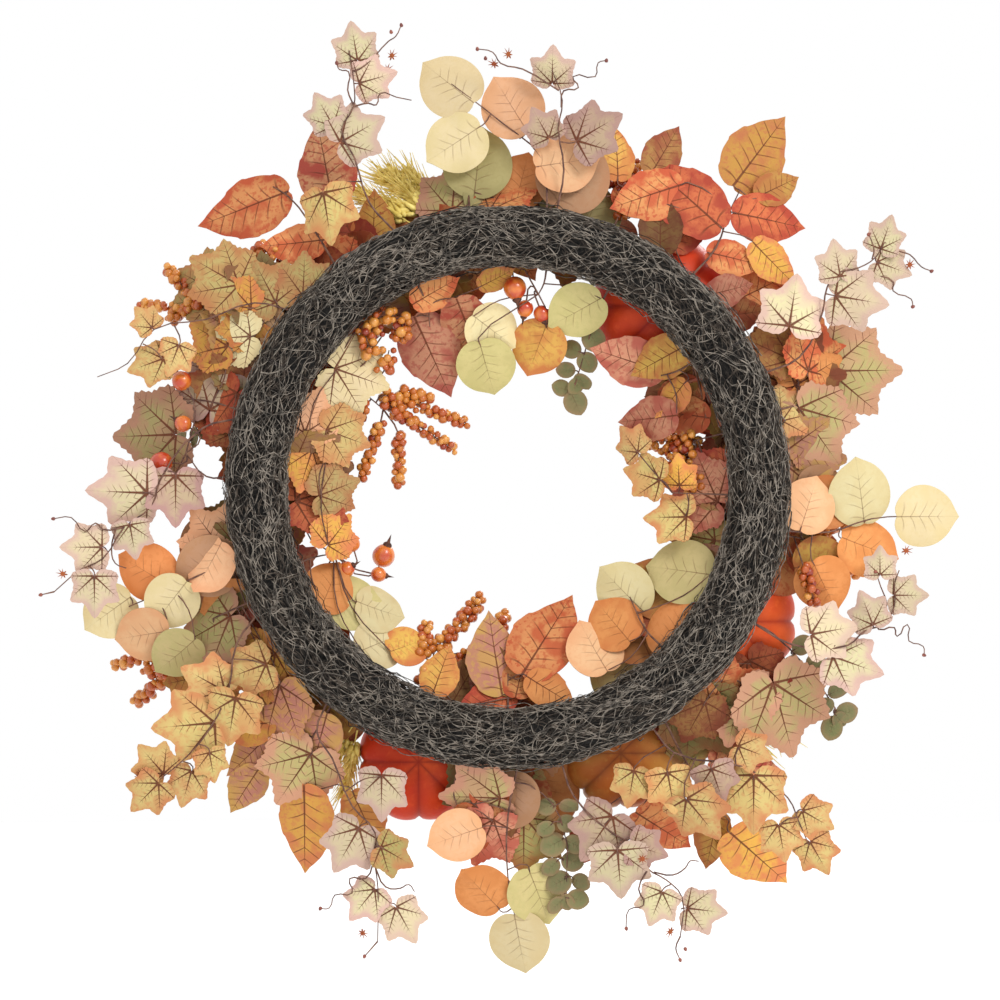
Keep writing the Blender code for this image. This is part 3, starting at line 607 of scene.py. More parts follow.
def vein_group():
    """Vein lines from the leaf's own map: main veins fan out from the stalk, fine ones branch off."""
    group, given, result = new_group(
        "vein_lines", [(label, "Float") for label in VEIN_MAP], (("Main", "Float"), ("Fine", "Float")))
    place = node(group, "SeparateXYZ")
    group.links.new(node(group, "UVMap", uv_map="leaf").outputs["UV"], place.inputs[0])
    along = maths(group, "SUBTRACT", place.outputs[0], given["Stalk"])
    across = maths(group, "ABSOLUTE", maths(group, "SUBTRACT", place.outputs[1], 0.5))
    angle = maths(group, "ARCTAN2", across, along)
    along_squared = maths(group, "MULTIPLY", along, along)
    across_squared = maths(group, "MULTIPLY", across, across)
    radius = maths(group, "SQRT", maths(group, "ADD", along_squared, across_squared))
    nearest = None
    for vein in (0.0, given["Side Angle"], given["Low Angle"]):
        off = maths(group, "SUBTRACT", angle, vein)
        away = maths(group, "MULTIPLY", maths(group, "ABSOLUTE", maths(group, "SINE", off)), radius)
        behind = maths(group, "LESS_THAN", maths(group, "COSINE", off), 0.0)
        away = maths(group, "ADD", away, behind)
        nearest = away if nearest is None else maths(group, "MINIMUM", nearest, away)
    taper = maths(group, "SUBTRACT", 1.0, maths(group, "DIVIDE", radius, given["Reach"]))
    width = maths(group, "MAXIMUM", maths(group, "MULTIPLY", taper, given["Width"]), 0.0005)
    feed(group, result["Main"], ramp(group, maths(group, "DIVIDE", nearest, width), 1.0, 0.45))
    slant = maths(group, "SUBTRACT", radius, maths(group, "MULTIPLY", nearest, 0.8))
    row = maths(group, "FRACT", maths(group, "MULTIPLY", slant, given["Rows"]))
    saw = maths(group, "ABSOLUTE", maths(group, "SUBTRACT", row, 0.5))
    beside = ramp(group, nearest, given["Spread"], maths(group, "MULTIPLY", given["Spread"], 0.4))
    inward = ramp(group, radius, given["Reach"], maths(group, "MULTIPLY", given["Reach"], 0.8))
    fade = maths(group, "MULTIPLY", beside, inward)
    feed(group, result["Fine"], maths(group, "MULTIPLY", ramp(group, saw, 0.07, 0.025), fade))
    return group


def cloth_group():
    """Printed cloth: the ground, mottled and rimmed with blush, then the vein print and its relief."""
    group, given, result = new_group("printed_cloth", (
        ("Ground", "Color"), ("Blush", "Color"), ("Mottle", "Float"), ("Rim Blush", "Float"),
        ("Rim", "Float"), ("Main", "Float"), ("Fine", "Float"), ("Main Ink", "Float"),
        ("Fine Ink", "Float")), (("Color", "Color"), ("Relief", "Float")))
    patches = ramp(group, noise(group, 62.0, 4.0), 0.46, 0.62)
    speckle = ramp(group, noise(group, 330.0, 3.0), 0.50, 0.62)
    mottle = maths(group, "MAXIMUM", patches, maths(group, "MULTIPLY", speckle, 0.7))
    mottle = maths(group, "MULTIPLY", mottle, given["Mottle"])
    edge = maths(group, "MULTIPLY", ramp(group, given["Rim"], 0.55, 1.0), given["Rim Blush"])
    shade = maths(group, "MINIMUM", maths(group, "ADD", mottle, edge), 1.0)
    colour = blend(group, shade, given["Ground"], given["Blush"])
    colour = blend(group, maths(group, "MULTIPLY", given["Fine"], given["Fine Ink"]), colour, VEIN_BROWN)
    colour = blend(group, maths(group, "MULTIPLY", given["Main"], given["Main Ink"]), colour, VEIN_BROWN)
    feed(group, result["Color"], colour)
    weave = maths(group, "MULTIPLY", noise(group, 1900.0), 0.4)
    ridge = maths(group, "ADD", given["Main"], maths(group, "MULTIPLY", given["Fine"], 0.5))
    feed(group, result["Relief"], maths(group, "ADD", weave, ridge))
    return group


vein_lines = vein_group()
printed_cloth = cloth_group()


def leaf_finish(name, vein_map, main_ink, fine_ink):
    """Printed polyester leaf: its colours and rim come from the mesh, its veins from the leaf's map."""
    finish, tree, shader = new_finish(name, 0.6)
    shader.inputs["Specular IOR Level"].default_value = 0.2
    lines = placed(tree, vein_lines, dict(zip(VEIN_MAP, vein_map)))
    ground = node(tree, "Attribute", attribute_name="ground").outputs
    blush = node(tree, "Attribute", attribute_name="blush").outputs
    cloth = placed(tree, printed_cloth, {
        "Ground": ground["Color"], "Blush": blush["Color"], "Mottle": blush["Alpha"],
        "Rim Blush": ground["Alpha"], "Rim": node(tree, "Attribute", attribute_name="rim").outputs["Fac"],
        "Main": lines["Main"], "Fine": lines["Fine"], "Main Ink": main_ink, "Fine Ink": fine_ink})
    feed(tree, shader.inputs["Base Color"], cloth["Color"])
    bump(tree, shader, cloth["Relief"], 0.0006, 0.7)
    return finish


# The vein map of each kind, then how strongly its main and its fine veins are inked
LEAF_FINISHES = {
    "ivy": leaf_finish("ivy_print", (0.21, 0.80, 1.55, 12.0, 0.54, 0.026, 0.11), 0.95, 0.75),
    "grape": leaf_finish("grape_print", (0.20, 0.66, 1.36, 11.0, 0.66, 0.019, 0.14), 0.95, 0.70),
    "round": leaf_finish("round_leaf_print", (0.04, 0.0, 0.0, 7.0, 0.78, 0.011, 0.26), 0.50, 0.30),
    "oval": leaf_finish("cherry_leaf_print", (0.05, 0.0, 0.0, 8.0, 0.98, 0.016, 0.24), 0.90, 0.75),
    "coin": leaf_finish("eucalyptus_print", (0.0, 0.0, 0.0, 6.0, 0.80, 0.012, 0.20), 0.35, 0.15),
    "star": leaf_finish("star_print", (0.10, 0.7, 1.4, 9.0, 0.40, 0.020, 0.05), 0.40, 0.0),
}


class Leaf:
    """A finished leaf, and where its stalk joins its blade."""

    def __init__(self, ob, base, along):
        self.ob, self.base, self.along = ob, base, along


def leaf(kind, centre, length, tip, normal, colours, tilt=14.0, curl=1.0, light=(0.78, 1.02)):
    """A curled copy of a blank, laid with its middle at centre and pointing along tip."""
    mesh = blanks[kind].copy()
    ob = bpy.data.objects.new("leaf_" + kind, mesh)
    bpy.context.scene.collection.objects.link(ob)
    ground, blush = PRINTS[colours]
    light = random.uniform(*light)
    for name, (red, green, blue, amount) in (("ground", ground), ("blush", blush)):
        shade = [min(c * light, 1.0) for c in (red, green * random.uniform(0.95, 1.05), blue)] + [amount]
        mesh.attributes[name].data.foreach_set("color", shade * len(mesh.vertices))
    fold = random.uniform(0.05, 0.22) * curl
    droop = random.uniform(-0.12, 0.16) * curl
    wave = random.uniform(0.010, 0.030) * curl
    turns, phase = random.choice((3, 4, 5)), random.uniform(0, 6.28)
    side_curl = random.uniform(-0.10, 0.25) * curl
    for vert in mesh.vertices:
        x, y = vert.co.x, vert.co.y
        around = math.atan2(y, x - 0.4)
        out = math.hypot(x - 0.4, y)
        rise = fold * abs(y) - side_curl * y * y + droop * (x - 0.3) ** 2
        vert.co.z = -rise + wave * (out / 0.5) ** 2 * math.sin(turns * around + phase)
    along = (tip - normal * tip.dot(normal)).normalized()
    across = normal.cross(along)
    turn = Matrix((along, across, normal)).transposed().to_4x4()
    lean = Matrix.Rotation(math.radians(random.gauss(0, tilt)), 4, along)
    lean = Matrix.Rotation(math.radians(random.gauss(0, tilt * 0.7)), 4, across) @ lean
    centre_x, points = OUTLINES[kind][0], OUTLINES[kind][4]
    heel, end = centre_x - points[-1][1], centre_x + points[0][1]
    size = length / (end - heel)
    mesh.transform(Matrix.Translation(centre) @ lean @ turn @ Matrix.Scale(size, 4)
                   @ Matrix.Translation((-(heel + end) / 2, 0, 0)))
    stalk_end = centre - lean.to_3x3() @ (along * length * 0.48)
    return Leaf(ob, stalk_end, lean.to_3x3() @ along)


def thickened(sheet):
    """Gives a sheet of leaves the thickness of the cloth."""
    thicken = sheet.modifiers.new("cloth", "SOLIDIFY")
    thicken.thickness = CLOTH
    thicken.offset = 0.0
    only(sheet)
    bpy.ops.object.modifier_apply(modifier="cloth")
    smooth(sheet, 50)
    return sheet


def on_cone(clock, reach, lean):
    """A place on the cone that leans forward from the bundle's core, as the sprays fan out."""
    return spot(clock, reach, -abs(reach * MM - RING_RADIUS) * math.tan(math.radians(lean)))


def cone_normal(clock, side, lean):
    turn = math.radians(lean)
    along = heading(clock) * side * math.cos(turn) - Vector((0.0, math.sin(turn), 0.0))
    normal = along.cross(heading(clock + 90))
    return normal if normal.y > 0 else -normal


def nearest_on(path, point):
    best = path[0]
    for a, b in zip(path, path[1:]):
        span = b - a
        t = max(0.0, min(1.0, (point - a).dot(span) / span.length_squared))
        if (a + span * t - point).length < (best - point).length:
            best = a + span * t
    return best


stem_finish, tree, shader = new_finish("wrapped_wire_stem", 0.6)
bark = ramp(tree, noise(tree, 160.0, 3.0), 0.35, 0.65)
feed(tree, shader.inputs["Base Color"],
     blend(tree, bark, (0.075, 0.026, 0.018, 1), (0.19, 0.085, 0.05, 1)))
bump(tree, shader, noise(tree, 900.0), 0.0004)

STEM_START = 0.0212
PETIOLE = 0.00055
TWIG_START, TWIG_END = 0.0007, 0.0004


def petiole(join, made):
    """A leaf's own stalk, from its join to the base of its blade, in line with the blade if it can be."""
    gap = made.base - join
    if gap.dot(made.along) < gap.length * 0.3:
        return [join, join + gap * 0.5 + made.along * gap.length * -0.12, made.base]
    return [join, made.base - made.along * min(0.004, gap.length * 0.4), made.base + made.along * 0.002]


FILLERS = {
    "round": ("peach", "apricot", "olive", "golden", "orange"),
    "oval": ("orange", "red", "plum", "rosy", "golden", "brown"),
    "grape": ("orange", "brown", "golden", "plum", "rosy", "moss", "red"),
}
# Stretches of the outer and inner brim left open for what is wired there instead
OPEN_OUTER = (
    (13, 25), (36, 47), (108, 126), (129, 138), (150, 161), (196, 212), (272, 285), (308, 318), (329, 347))
OPEN_INNER = ((70, 86), (195, 208))


def fill_in(kind, root, side, count, lean, brim):
    """Places for shorter leaves low on a spray: some along its brim, the rest over the bundle's front."""
    places = []
    for _ in range((count + brim) * 4):
        clock, size = root + random.uniform(-14, 14), random.uniform(38, 56)
        low = len(places) < brim
        if any(a < clock % 360 < b for a, b in (OPEN_OUTER if side > 0 else OPEN_INNER)):
            low = False
        turn = math.radians(random.uniform(lean + 5, lean + 30) if low else random.uniform(lean + 22, 95))
        reach = 22 + size * 0.42 + random.uniform(0, 20 if low else 12)
        place = spot(clock, RING_RADIUS / MM + side * reach * math.cos(turn), -reach * MM * math.sin(turn))
        if len(places) < count + brim and clear_of_pumpkins(place, size * 0.30 * MM):
            out, bow = heading(clock + random.uniform(-35, 35)) * side, turn * random.uniform(0.3, 0.55)
            tip = out * math.cos(bow) - Vector((0.0, math.sin(bow), 0.0))
            normal = out * math.sin(bow) + Vector((0.0, math.cos(bow), 0.0))
            places.append((kind, place, size, tip, normal, random.choice(FILLERS[kind])))
    return places


# How light or dark the colours of single leaves come out, at least and at most: the pale range is
# the dye alone, and the darker ranges add painted shade, given to every cherry and grape leaf and,
# deepest, to the filler and front leaves low over the bundle.
PALE_DYE, DYE_WITH_PAINTED_SHADE, DYE_WITH_DEEP_PAINTED_SHADE = (0.78, 1.02), (0.55, 0.93), (0.34, 0.76)
LIGHTS = dict.fromkeys(OUTLINES, PALE_DYE) | {"oval": DYE_WITH_PAINTED_SHADE, "grape": DYE_WITH_PAINTED_SHADE}


def lay_spray(name, root, lean, stem, leaves, twigs=(), thick=0.85, tilt=14.0, front=(), fill=None):
    """One spray, as the CAD node of that name rides. The stem and twigs are lists of clock and reach.

    A leaf is its kind, clock, reach, length, the clock its tip points to and its print. A front leaf,
    which lies over the face of the bundle, has its lift after its reach. Fill is a kind, and how many
    leaves to lay over the front and along the brim.
    """
    side = 1 if stem[-1][1] * MM > RING_RADIUS else -1
    turn = math.radians(lean)
    start_reach = (RING_RADIUS + side * STEM_START * math.cos(turn)) / MM
    start = spot(root, start_reach, -STEM_START * math.sin(turn))
    path = [start] + [on_cone(c, r, lean) for c, r in stem]
    routes = [(path, thick * MM, thick * MM * 0.5)]
    paths = [path]
    for twig in twigs:
        way = [on_cone(c, r, lean) for c, r in twig]
        join = min((nearest_on(p, way[0]) for p in paths), key=lambda q: (q - way[0]).length)
        if (join - way[0]).length > 0.002:
            way.insert(0, join)
        else:
            way[0] = join
        routes.append((way, TWIG_START, TWIG_END))
        paths.append(way)
    sheets = {}
    for kind, clock, reach, length, tip, colours in leaves:
        made = leaf(kind, on_cone(clock, reach, lean), length * MM, heading(tip),
                    cone_normal(clock, side, lean), colours, tilt, light=LIGHTS[kind])
        sheets.setdefault(kind, []).append(made.ob)
        join = min((nearest_on(p, made.base) for p in paths), key=lambda q: (q - made.base).length)
        routes.append((petiole(join, made), PETIOLE, PETIOLE * 0.8))
    places = fill_in(fill[0], root, side, fill[1], lean, fill[2]) if fill else []
    for kind, clock, reach, lift, length, tip, colours in front:
        dome = heading(clock) * (reach * MM - RING_RADIUS) / 0.06
        places.append((kind, spot(clock, reach, -lift * MM), length, heading(tip),
                       (Vector((0.0, 1.0, 0.0)) - dome).normalized(), colours))
    for kind, place, length, tip, normal, colours in places:
        # Painted shade: the filler and front leaves take the deepest range, darkened for the shade near
        # the bundle.
        made = leaf(kind, place, length * MM, tip, normal, colours, tilt, -1.0, DYE_WITH_DEEP_PAINTED_SHADE)
        sheets.setdefault(kind, []).append(made.ob)
        ahead = start + Vector((0.0, -0.012, 0.0))
        way = [start, (ahead + made.base) / 2, made.base + made.along * 0.002]
        routes.append((way, PETIOLE * 1.4, PETIOLE))
    body = "wreath" if not name.startswith("ivy_vine_") else name.replace("ivy_vine_", "ivy_")
    for kind, laid in sheets.items():
        sheet = joined("%s_%s" % (name, "leaves" if len(sheets) == 1 else kind + "_leaves"), laid)
        settle(thickened(sheet), [name], body, LEAF_FINISHES[kind])
    stems = wires(name + "_stems", routes, 1, 3)
    settle(stems, [name], body, stem_finish)
    return paths


# --- Trailing ivy vines --------------------------------------------------------------------------
# Thin wired stems with pale printed ivy leaves, curly wire tendrils, buds and small star flowers.
# Each is twisted to the bundle at its root and can be bent from there.
random.seed(21)


def ivy(*leaves, colours="ivy"):
    """Ivy leaves as clock, reach, length, tip and, where it differs, colours."""
    return [("ivy", *entry[:4], entry[4] if len(entry) > 4 else colours) for entry in leaves]


lay_spray("ivy_vine_top_left", 336, 0,
          [(334, 226), (335, 260), (335, 281), (338, 294), (339, 307), (340, 332)],
          ivy((341, 338, 29, 350), (342.5, 307, 29, 75), (338, 276, 37, 60), (334, 301, 28, 330),
              (326, 230, 40, 170, "lemon")),
          [[(338, 294), (338, 306), (339, 318), (338, 322), (338, 327)],
           [(338, 293), (340, 292), (341, 289), (342, 296), (344, 290), (346, 285)],
           [(340, 317), (342, 320), (345, 330), (346, 332), (347, 339)]])
lay_spray("ivy_vine_top", 10, 0, [(10, 230), (8, 259), (8, 279), (6, 300)],
          ivy((6, 304, 29, 0), (14.4, 266, 39, 60, "mauve"), (5, 262, 26, 330, "mauve")),
          [[(8, 274), (8, 286), (10, 290), (9, 297), (12, 300), (12, 310), (13, 313)],
           [(7, 285), (2, 299), (359, 303), (358, 311), (356, 314)]])
lay_spray("ivy_vine_upper_right", 66, 0,
          [(66, 228), (61, 257), (58, 269), (57, 280), (58, 296), (58, 310), (57, 321)],
          ivy((56.5, 245, 43, 10), (55, 287, 28, 350), (56, 327, 26, 20), (60.6, 318, 27, 110),
              (62.3, 287, 40, 100)),
          [[(58, 307), (57, 312), (55, 315)], [(57, 321), (59, 327), (60, 332), (62, 335), (63, 340)],
           [(58, 290), (60, 303), (62, 312), (63, 309), (65, 318), (66, 317)]])
lay_spray("ivy_vine_right", 119, 0,
          [(119, 232), (115, 268), (112, 275), (110, 286), (107, 289), (104, 285), (102, 286)],
          ivy((105, 299, 26, 90), (108.5, 270, 27, 340), (101, 271, 22, 0), (113.5, 256, 37, 80),
              (117, 282, 39, 110)),
          [[(110, 286), (107, 283), (105, 276), (103, 270)],
           [(111, 284), (110, 294), (111, 298), (109, 302), (111, 307), (111, 318), (112, 321)]])
lay_spray("ivy_vine_lower_right", 149, 0, [(148, 224), (140, 261), (138, 299), (139, 317), (140, 335)],
          ivy((158, 234, 28, 190), (152, 249, 31, 170), (145, 262, 30, 160, "mauve"), (137, 260, 27, 110),
              (142.4, 288, 43, 180), (149.5, 276, 40, 140), (142.5, 322, 28, 170), (137, 326, 27, 120),
              (140, 347, 28, 150), colours="lemon"))
lay_spray("ivy_vine_bottom", 169, 4,
          [(168, 226), (163, 260), (160, 276), (160, 290), (158, 304), (157, 319), (159, 345)],
          ivy((166, 260, 40, 215, "mauve"), (164, 290, 40, 175), (160.8, 321, 28, 200),
              (154.7, 336, 30, 95), (158.5, 280, 28, 110, "mauve")),
          [[(160, 292), (162, 303), (162, 315), (164, 315), (165, 327)],
           [(159, 294), (157, 302), (155, 301), (154, 298), (153, 301)],
           [(159, 345), (160, 352), (160, 360)]])
lay_spray("ivy_vine_lower_left", 220, 0,
          [(218, 222), (213, 231), (206, 254), (201, 265), (200, 280), (198, 301), (196, 338)],
          ivy((202, 241, 35, 180), (204, 285, 37, 210), (196.5, 276, 29, 120, "moss"),
              (199.3, 317, 29, 220), (193, 322, 30, 150)),
          [[(200, 283), (200, 298), (202, 302), (201, 311), (203, 317), (203, 327), (204, 330)],
           [(199, 288), (197, 299), (195, 297), (194, 293), (193, 297)], [(196, 338), (197, 351)]])
lay_spray("ivy_vine_left_low", 243, 0, [(240, 224), (234, 247), (231, 274), (230, 299), (230, 331)],
          ivy((233.8, 289, 46, 265), (232.8, 321, 29, 320), (229.5, 342, 29, 225), (226.7, 316, 28, 195),
              (226.4, 292, 23, 170), (229.5, 260, 38, 190), (238, 258, 37, 300), (235, 231, 34, 250),
              colours="lemon"))
lay_spray("ivy_vine_left", 284, 0,
          [(281, 222), (271, 249), (267, 255), (264, 276), (260, 294), (259, 312), (257, 333)],
          ivy((269.3, 281, 45, 272), (267.3, 238, 38, 180, "mauve"), (262, 309, 31, 270),
              (261.5, 271, 26, 170), (255, 306, 31, 180)),
          [[(264, 276), (264, 291), (265, 296), (264, 304), (266, 313), (266, 326)],
           [(264, 282), (261, 287), (259, 286), (258, 279)], [(257, 333), (257, 343)]])
lay_spray("ivy_vine_upper_left", 309, 0, [(306, 224), (299, 247), (294, 277), (288, 286), (285, 304)],
          ivy((288.5, 274, 28, 250), (290.5, 256, 25, 200), (295, 288, 20, 320), colours="lemon"),
          thick=0.7)

# --- Round leaf sprays ---------------------------------------------------------------------------
# Silver-dollar leaves, cream shading to peach, two or three to a wired stem.
random.seed(31)


def blades(kind, *leaves):
    return [(kind, *entry) for entry in leaves]


def pairs(*stops):
    """Coin leaves in pairs along a stem, and a small one at its end."""
    leaves = []
    for i, (clock, reach, tip) in enumerate(stops):
        for turn in (-62, 62):
            a = math.radians(tip + turn - clock)
            leaves.append(("coin", clock + math.degrees(math.sin(a) * 9 / reach), reach + math.cos(a) * 9,
                           random.uniform(14, 20), tip + turn, "sage"))
    leaves.append(("coin", clock, reach + 4, 14, tip, "sage"))
    return leaves


lay_spray("round_leaf_spray_top", 8, 13, [(6, 236), (359, 262), (352, 293)], blades(
    "round", (351.6, 294, 48, 310, "cream"), (0.4, 275, 48, 330, "peach"), (351, 249, 47, 235, "cream"),
    (10.5, 237, 47, 80, "peach")), tilt=7, fill=("round", 4, 4))
lay_spray("round_leaf_spray_right", 99, 13, [(98, 232), (95, 262), (94, 296)], blades(
    "round", (90.5, 253, 49, 350, "cream"), (94, 303, 47, 90, "cream"), (99.6, 264, 45, 110, "apricot"),
    (107.4, 238, 43, 150, "apricot"), (93, 216, 42, 20, "peach")), tilt=9, fill=("round", 5, 4))
lay_spray("round_leaf_spray_bottom", 178, 13, [(180, 236), (180, 281), (179, 312)], blades(
    "round", (188.7, 254, 42, 250, "peach"), (183.9, 290, 43, 320, "apricot"),
    (175.6, 296, 46, 160, "olive"),
    (178.5, 330, 46, 170, "cream")) + pairs(
        (171, 228, 180), (172, 242, 165), (171, 256, 180), (172, 270, 165), (171, 284, 180),
        (172, 298, 165)),
    twigs=[[(176, 214), (171, 240), (172, 302)]], tilt=12, fill=("round", 5, 4))
lay_spray("round_leaf_spray_left", 255, 13, [(254, 232), (253, 262), (252.5, 286)], blades(
    "round", (248, 284, 42, 260, "peach"), (243, 268, 40, 230, "olive"), (252.5, 302, 42, 235, "cream"),
    (251, 257, 42, 220, "cream"), (255, 222, 42, 210, "peach"),
    (257, 268, 45, 300, "apricot")), tilt=12, fill=("round", 5, 4))
lay_spray("round_leaf_spray_inner_right", 136, 20, [(136, 142), (132, 118)], blades(
    "round", (132, 110, 46, 315, "cream"), (130, 156, 45, 20, "apricot"), (152, 130, 44, 330, "peach"),
    (116, 136, 50, 280, "olive"), (142, 122, 42, 320, "apricot")), tilt=10, fill=("round", 4, 4))

# --- Cherry leaf sprays --------------------------------------------------------------------------
# Broad pointed leaves with a fine toothed edge, mottled orange, red, yellow and plum.
random.seed(41)
lay_spray("cherry_leaf_spray_top_left", 322, 26, [(323, 232), (323, 262), (322, 276)], blades(
    "oval", (316.4, 278, 73, 253, "orange"), (330.7, 271, 69, 345, "speckle"),
    (318.5, 234, 50, 270, "orange")), tilt=8, fill=("oval", 8, 6))
lay_spray("cherry_leaf_spray_top_right", 41, 22, [(41, 228), (39, 252), (38, 272)], blades(
    "oval", (25.5, 232, 60, 247, "orange"), (31, 246, 75, 315, "red"), (36.8, 304, 71, 37, "sunny"),
    (44.5, 270, 58, 96, "red"), (50, 250, 46, 130, "sunny"), (45, 232, 44, 100, "orange"),
    (42, 292, 40, 60, "golden"), (18, 254, 44, 0, "golden"), (25, 268, 44, 30, "brown")), tilt=8,
    fill=("oval", 8, 6))
lay_spray("cherry_leaf_spray_bottom_right", 146, 24, [(147, 232), (147, 262), (146.5, 290)], blades(
    "oval", (145.9, 325, 70, 135, "sunny"), (139.5, 264, 55, 100, "speckle"),
    (155.6, 272, 58, 130, "orange"),
    (150, 296, 44, 190, "golden"), (167, 262, 50, 200, "red")), tilt=9, fill=("oval", 7, 6))
lay_spray("cherry_leaf_spray_bottom_left", 219, 24, [(218, 228), (216, 252), (213, 262)], blades(
    "oval", (210.7, 288, 73, 185, "sunny"), (224, 270, 46, 225, "plum"), (216.5, 228, 50, 200, "plum"),
    (203, 262, 50, 160, "golden"), (228, 256, 50, 260, "sunny"),
    (221, 290, 44, 215, "plum")), tilt=9, fill=("oval", 8, 6))
lay_spray("cherry_leaf_spray_inner_left", 336, 22, [(336, 142), (334, 128)], blades(
    "oval", (330, 108, 68, 155, "rosy"), (346, 117, 56, 160, "speckle"), (357, 150, 30, 60, "sunny"),
    (340, 150, 40, 60, "orange")), tilt=8, fill=("oval", 6, 6))
lay_spray("cherry_leaf_spray_inner_right", 56, 20, [(55.5, 146), (54, 136)], blades(
    "oval", (43, 125, 58, 290, "rosy"), (64, 112, 50, 260, "rosy"), (62, 133, 36, 220, "sunny"),
    (50, 142, 50, 240, "golden")), tilt=10, fill=("oval", 6, 6))
lay_spray("cherry_leaf_spray_inner_bottom", 180, 22, [(180, 146), (180, 134)], blades(
    "oval", (184.5, 120, 66, 352, "plum"), (165, 110, 76, 26, "orange"), (168, 150, 42, 120, "apricot"),
    (186, 154, 46, 250, "red"), (200, 140, 44, 20, "golden"), (176, 134, 40, 10, "orange")), tilt=8,
    fill=("oval", 6, 6))

# --- Grape leaf sprays ---------------------------------------------------------------------------
# Lobed and toothed leaves with a green-cream middle, a pink edge and strong brown veins.
random.seed(51)
lay_spray("grape_leaf_spray_top", 352, 38, [(352, 222), (350, 234)], blades(
    "grape", (350, 222, 46, 0, "grape"), (359, 214, 44, 20, "orange")), tilt=9, fill=("grape", 7, 6),
    front=blades(
    "grape", (354, 190, 30, 58, 10, "orange")) + blades(
    "oval", (2, 172, 40, 56, 150, "sunny"), (344, 168, 32, 56, 200, "rosy")))
lay_spray("grape_leaf_spray_right", 74, 22, [(74, 226), (72, 252)], blades(
    "grape", (72, 272, 56, 88, "grape"), (81, 227, 52, 140, "grape"), (64.8, 244, 44, 20, "orange"),
    (60, 221, 44, 330, "brown"), (69.5, 240, 44, 60, "apricot"), (73.7, 214, 32, 40, "lemon")), tilt=9,
    fill=("grape", 7, 6), front=blades(
    "grape", (72, 190, 32, 60, 90, "orange")) + blades("oval", (82, 174, 38, 60, 240, "sunny")))
lay_spray("grape_leaf_spray_lower_right", 130, 20, [(130, 224), (129, 240)], blades(
    "grape", (130.4, 261, 62, 160, "grape"), (135.4, 232, 50, 190, "grape"), (131, 219, 45, 60, "orange"),
    (142, 216, 38, 200, "brown")), tilt=9, fill=("grape", 7, 6))
lay_spray("grape_leaf_spray_bottom", 190, 18, [(190, 224), (189, 232)], blades(
    "grape", (187.4, 224, 46, 270, "grape"), (177.5, 260, 48, 180, "moss"), (184, 258, 42, 200, "rosy"),
    (182, 240, 40, 130, "orange")), tilt=9, fill=("grape", 7, 6))
lay_spray("grape_leaf_spray_left_low", 246, 22, [(246, 226), (246, 232)], blades(
    "grape", (236, 272, 46, 220, "golden"), (244.5, 243, 50, 240, "grape"), (226, 236, 48, 200, "plum"),
    (216.3, 262, 50, 215, "grape"),
    (262, 218, 42, 320, "peach"), (234, 226, 44, 230, "sunny")), tilt=9, fill=("grape", 8, 6))
lay_spray("grape_leaf_spray_left", 286, 20, [(286, 224), (285, 246)], blades(
    "grape", (278, 266, 57, 270, "grape"), (291.4, 220, 52, 20, "mauve"), (297, 242, 40, 300, "sunny"),
    (302.4, 214, 40, 340, "peach"), (284, 212, 40, 220, "red")), tilt=9, fill=("grape", 8, 6))
lay_spray("grape_leaf_spray_top_left", 306, 16, [(306, 230), (306, 242)], blades(
    "grape", (306.3, 263, 44, 300, "lemon"), (303, 240, 36, 280, "sunny"), (310.3, 229, 38, 330, "lemon"),
    (316.5, 212, 34, 0, "lemon"), (298, 228, 36, 270, "cream")), tilt=9, fill=("grape", 8, 6))
lay_spray("grape_leaf_spray_inner_left", 282, 14, [(282, 146), (280, 132)], blades(
    "grape", (287, 119, 36, 110, "lemon"), (270, 120, 34, 70, "lemon"), (256, 124, 30, 40, "sunny"),
    (292, 150, 36, 20, "peach"), (274, 146, 34, 200, "sunny"), (307, 129, 44, 110, "cream")), tilt=9,
    fill=("grape", 7, 6))
lay_spray("grape_leaf_spray_inner_right", 92, 14, [(92, 144), (92, 118)], blades(
    "ivy", (84.5, 96, 30, 285, "lemon"), (101, 114, 34, 270, "lemon"), (68, 93, 25, 320, "lemon"),
    (84, 123, 24, 0, "sunny")), tilt=9, fill=("grape", 5, 6))

# --- Eucalyptus sprays ---------------------------------------------------------------------------
# Small dull green coin leaves in pairs along a thin stem, flushed with brown at the rim.
random.seed(61)


lay_spray("eucalyptus_spray_left", 284, 44, [(283, 216), (276, 240)],
          pairs((284, 208, 290), (283, 217, 290), (281, 226, 280), (278, 234, 260), (275, 242, 250)),
          front=blades(
              "grape", (280, 190, 34, 62, 290, "orange")) + blades(
              "oval", (270, 174, 40, 60, 120, "sunny"), (291, 172, 30, 58, 80, "red")))
lay_spray("eucalyptus_spray_right", 119, 27, [(119, 218), (122, 262), (124, 286)],
          pairs((120, 236, 125), (121, 250, 130), (122, 263, 125), (123, 276, 130), (125, 290, 135)))
lay_spray("eucalyptus_spray_inner", 27, 26, [(27, 142), (29, 118), (33, 90)],
          pairs((27, 128, 215), (29, 112, 220), (31, 98, 215), (34, 84, 225)))

# --- Buds and star flowers of the vines ----------------------------------------------------------
# Tiny red-brown star leaves and round buds, crimped to the tendrils of the trailing vines.
random.seed(71)
STARS = {
    "top_left": ((345, 320, 20), (344, 311, 60)), "top": ((0, 310, 330), (358, 303, 300)),
    "upper_right": ((61, 329, 40),), "right": ((99, 289, 70),),
    "bottom": ((160, 339, 200), (160, 283, 90)),
    "lower_left": ((198, 336, 170),), "left": ((259, 325, 280),), "left_low": ((232, 334, 250),),
}
BUDS = {
    "top_left": ((345.6, 336), (347, 339), (338, 327)), "top": ((356, 314), (357, 307), (13, 313)),
    "upper_right": ((63, 340), (66, 317), (55, 315)), "right": ((112, 321), (103, 270)),
    "bottom": ((160, 360), (165, 327), (159, 354)), "lower_left": ((204, 330), (197, 351)),
    "left": ((266, 326), (257, 343)),
}


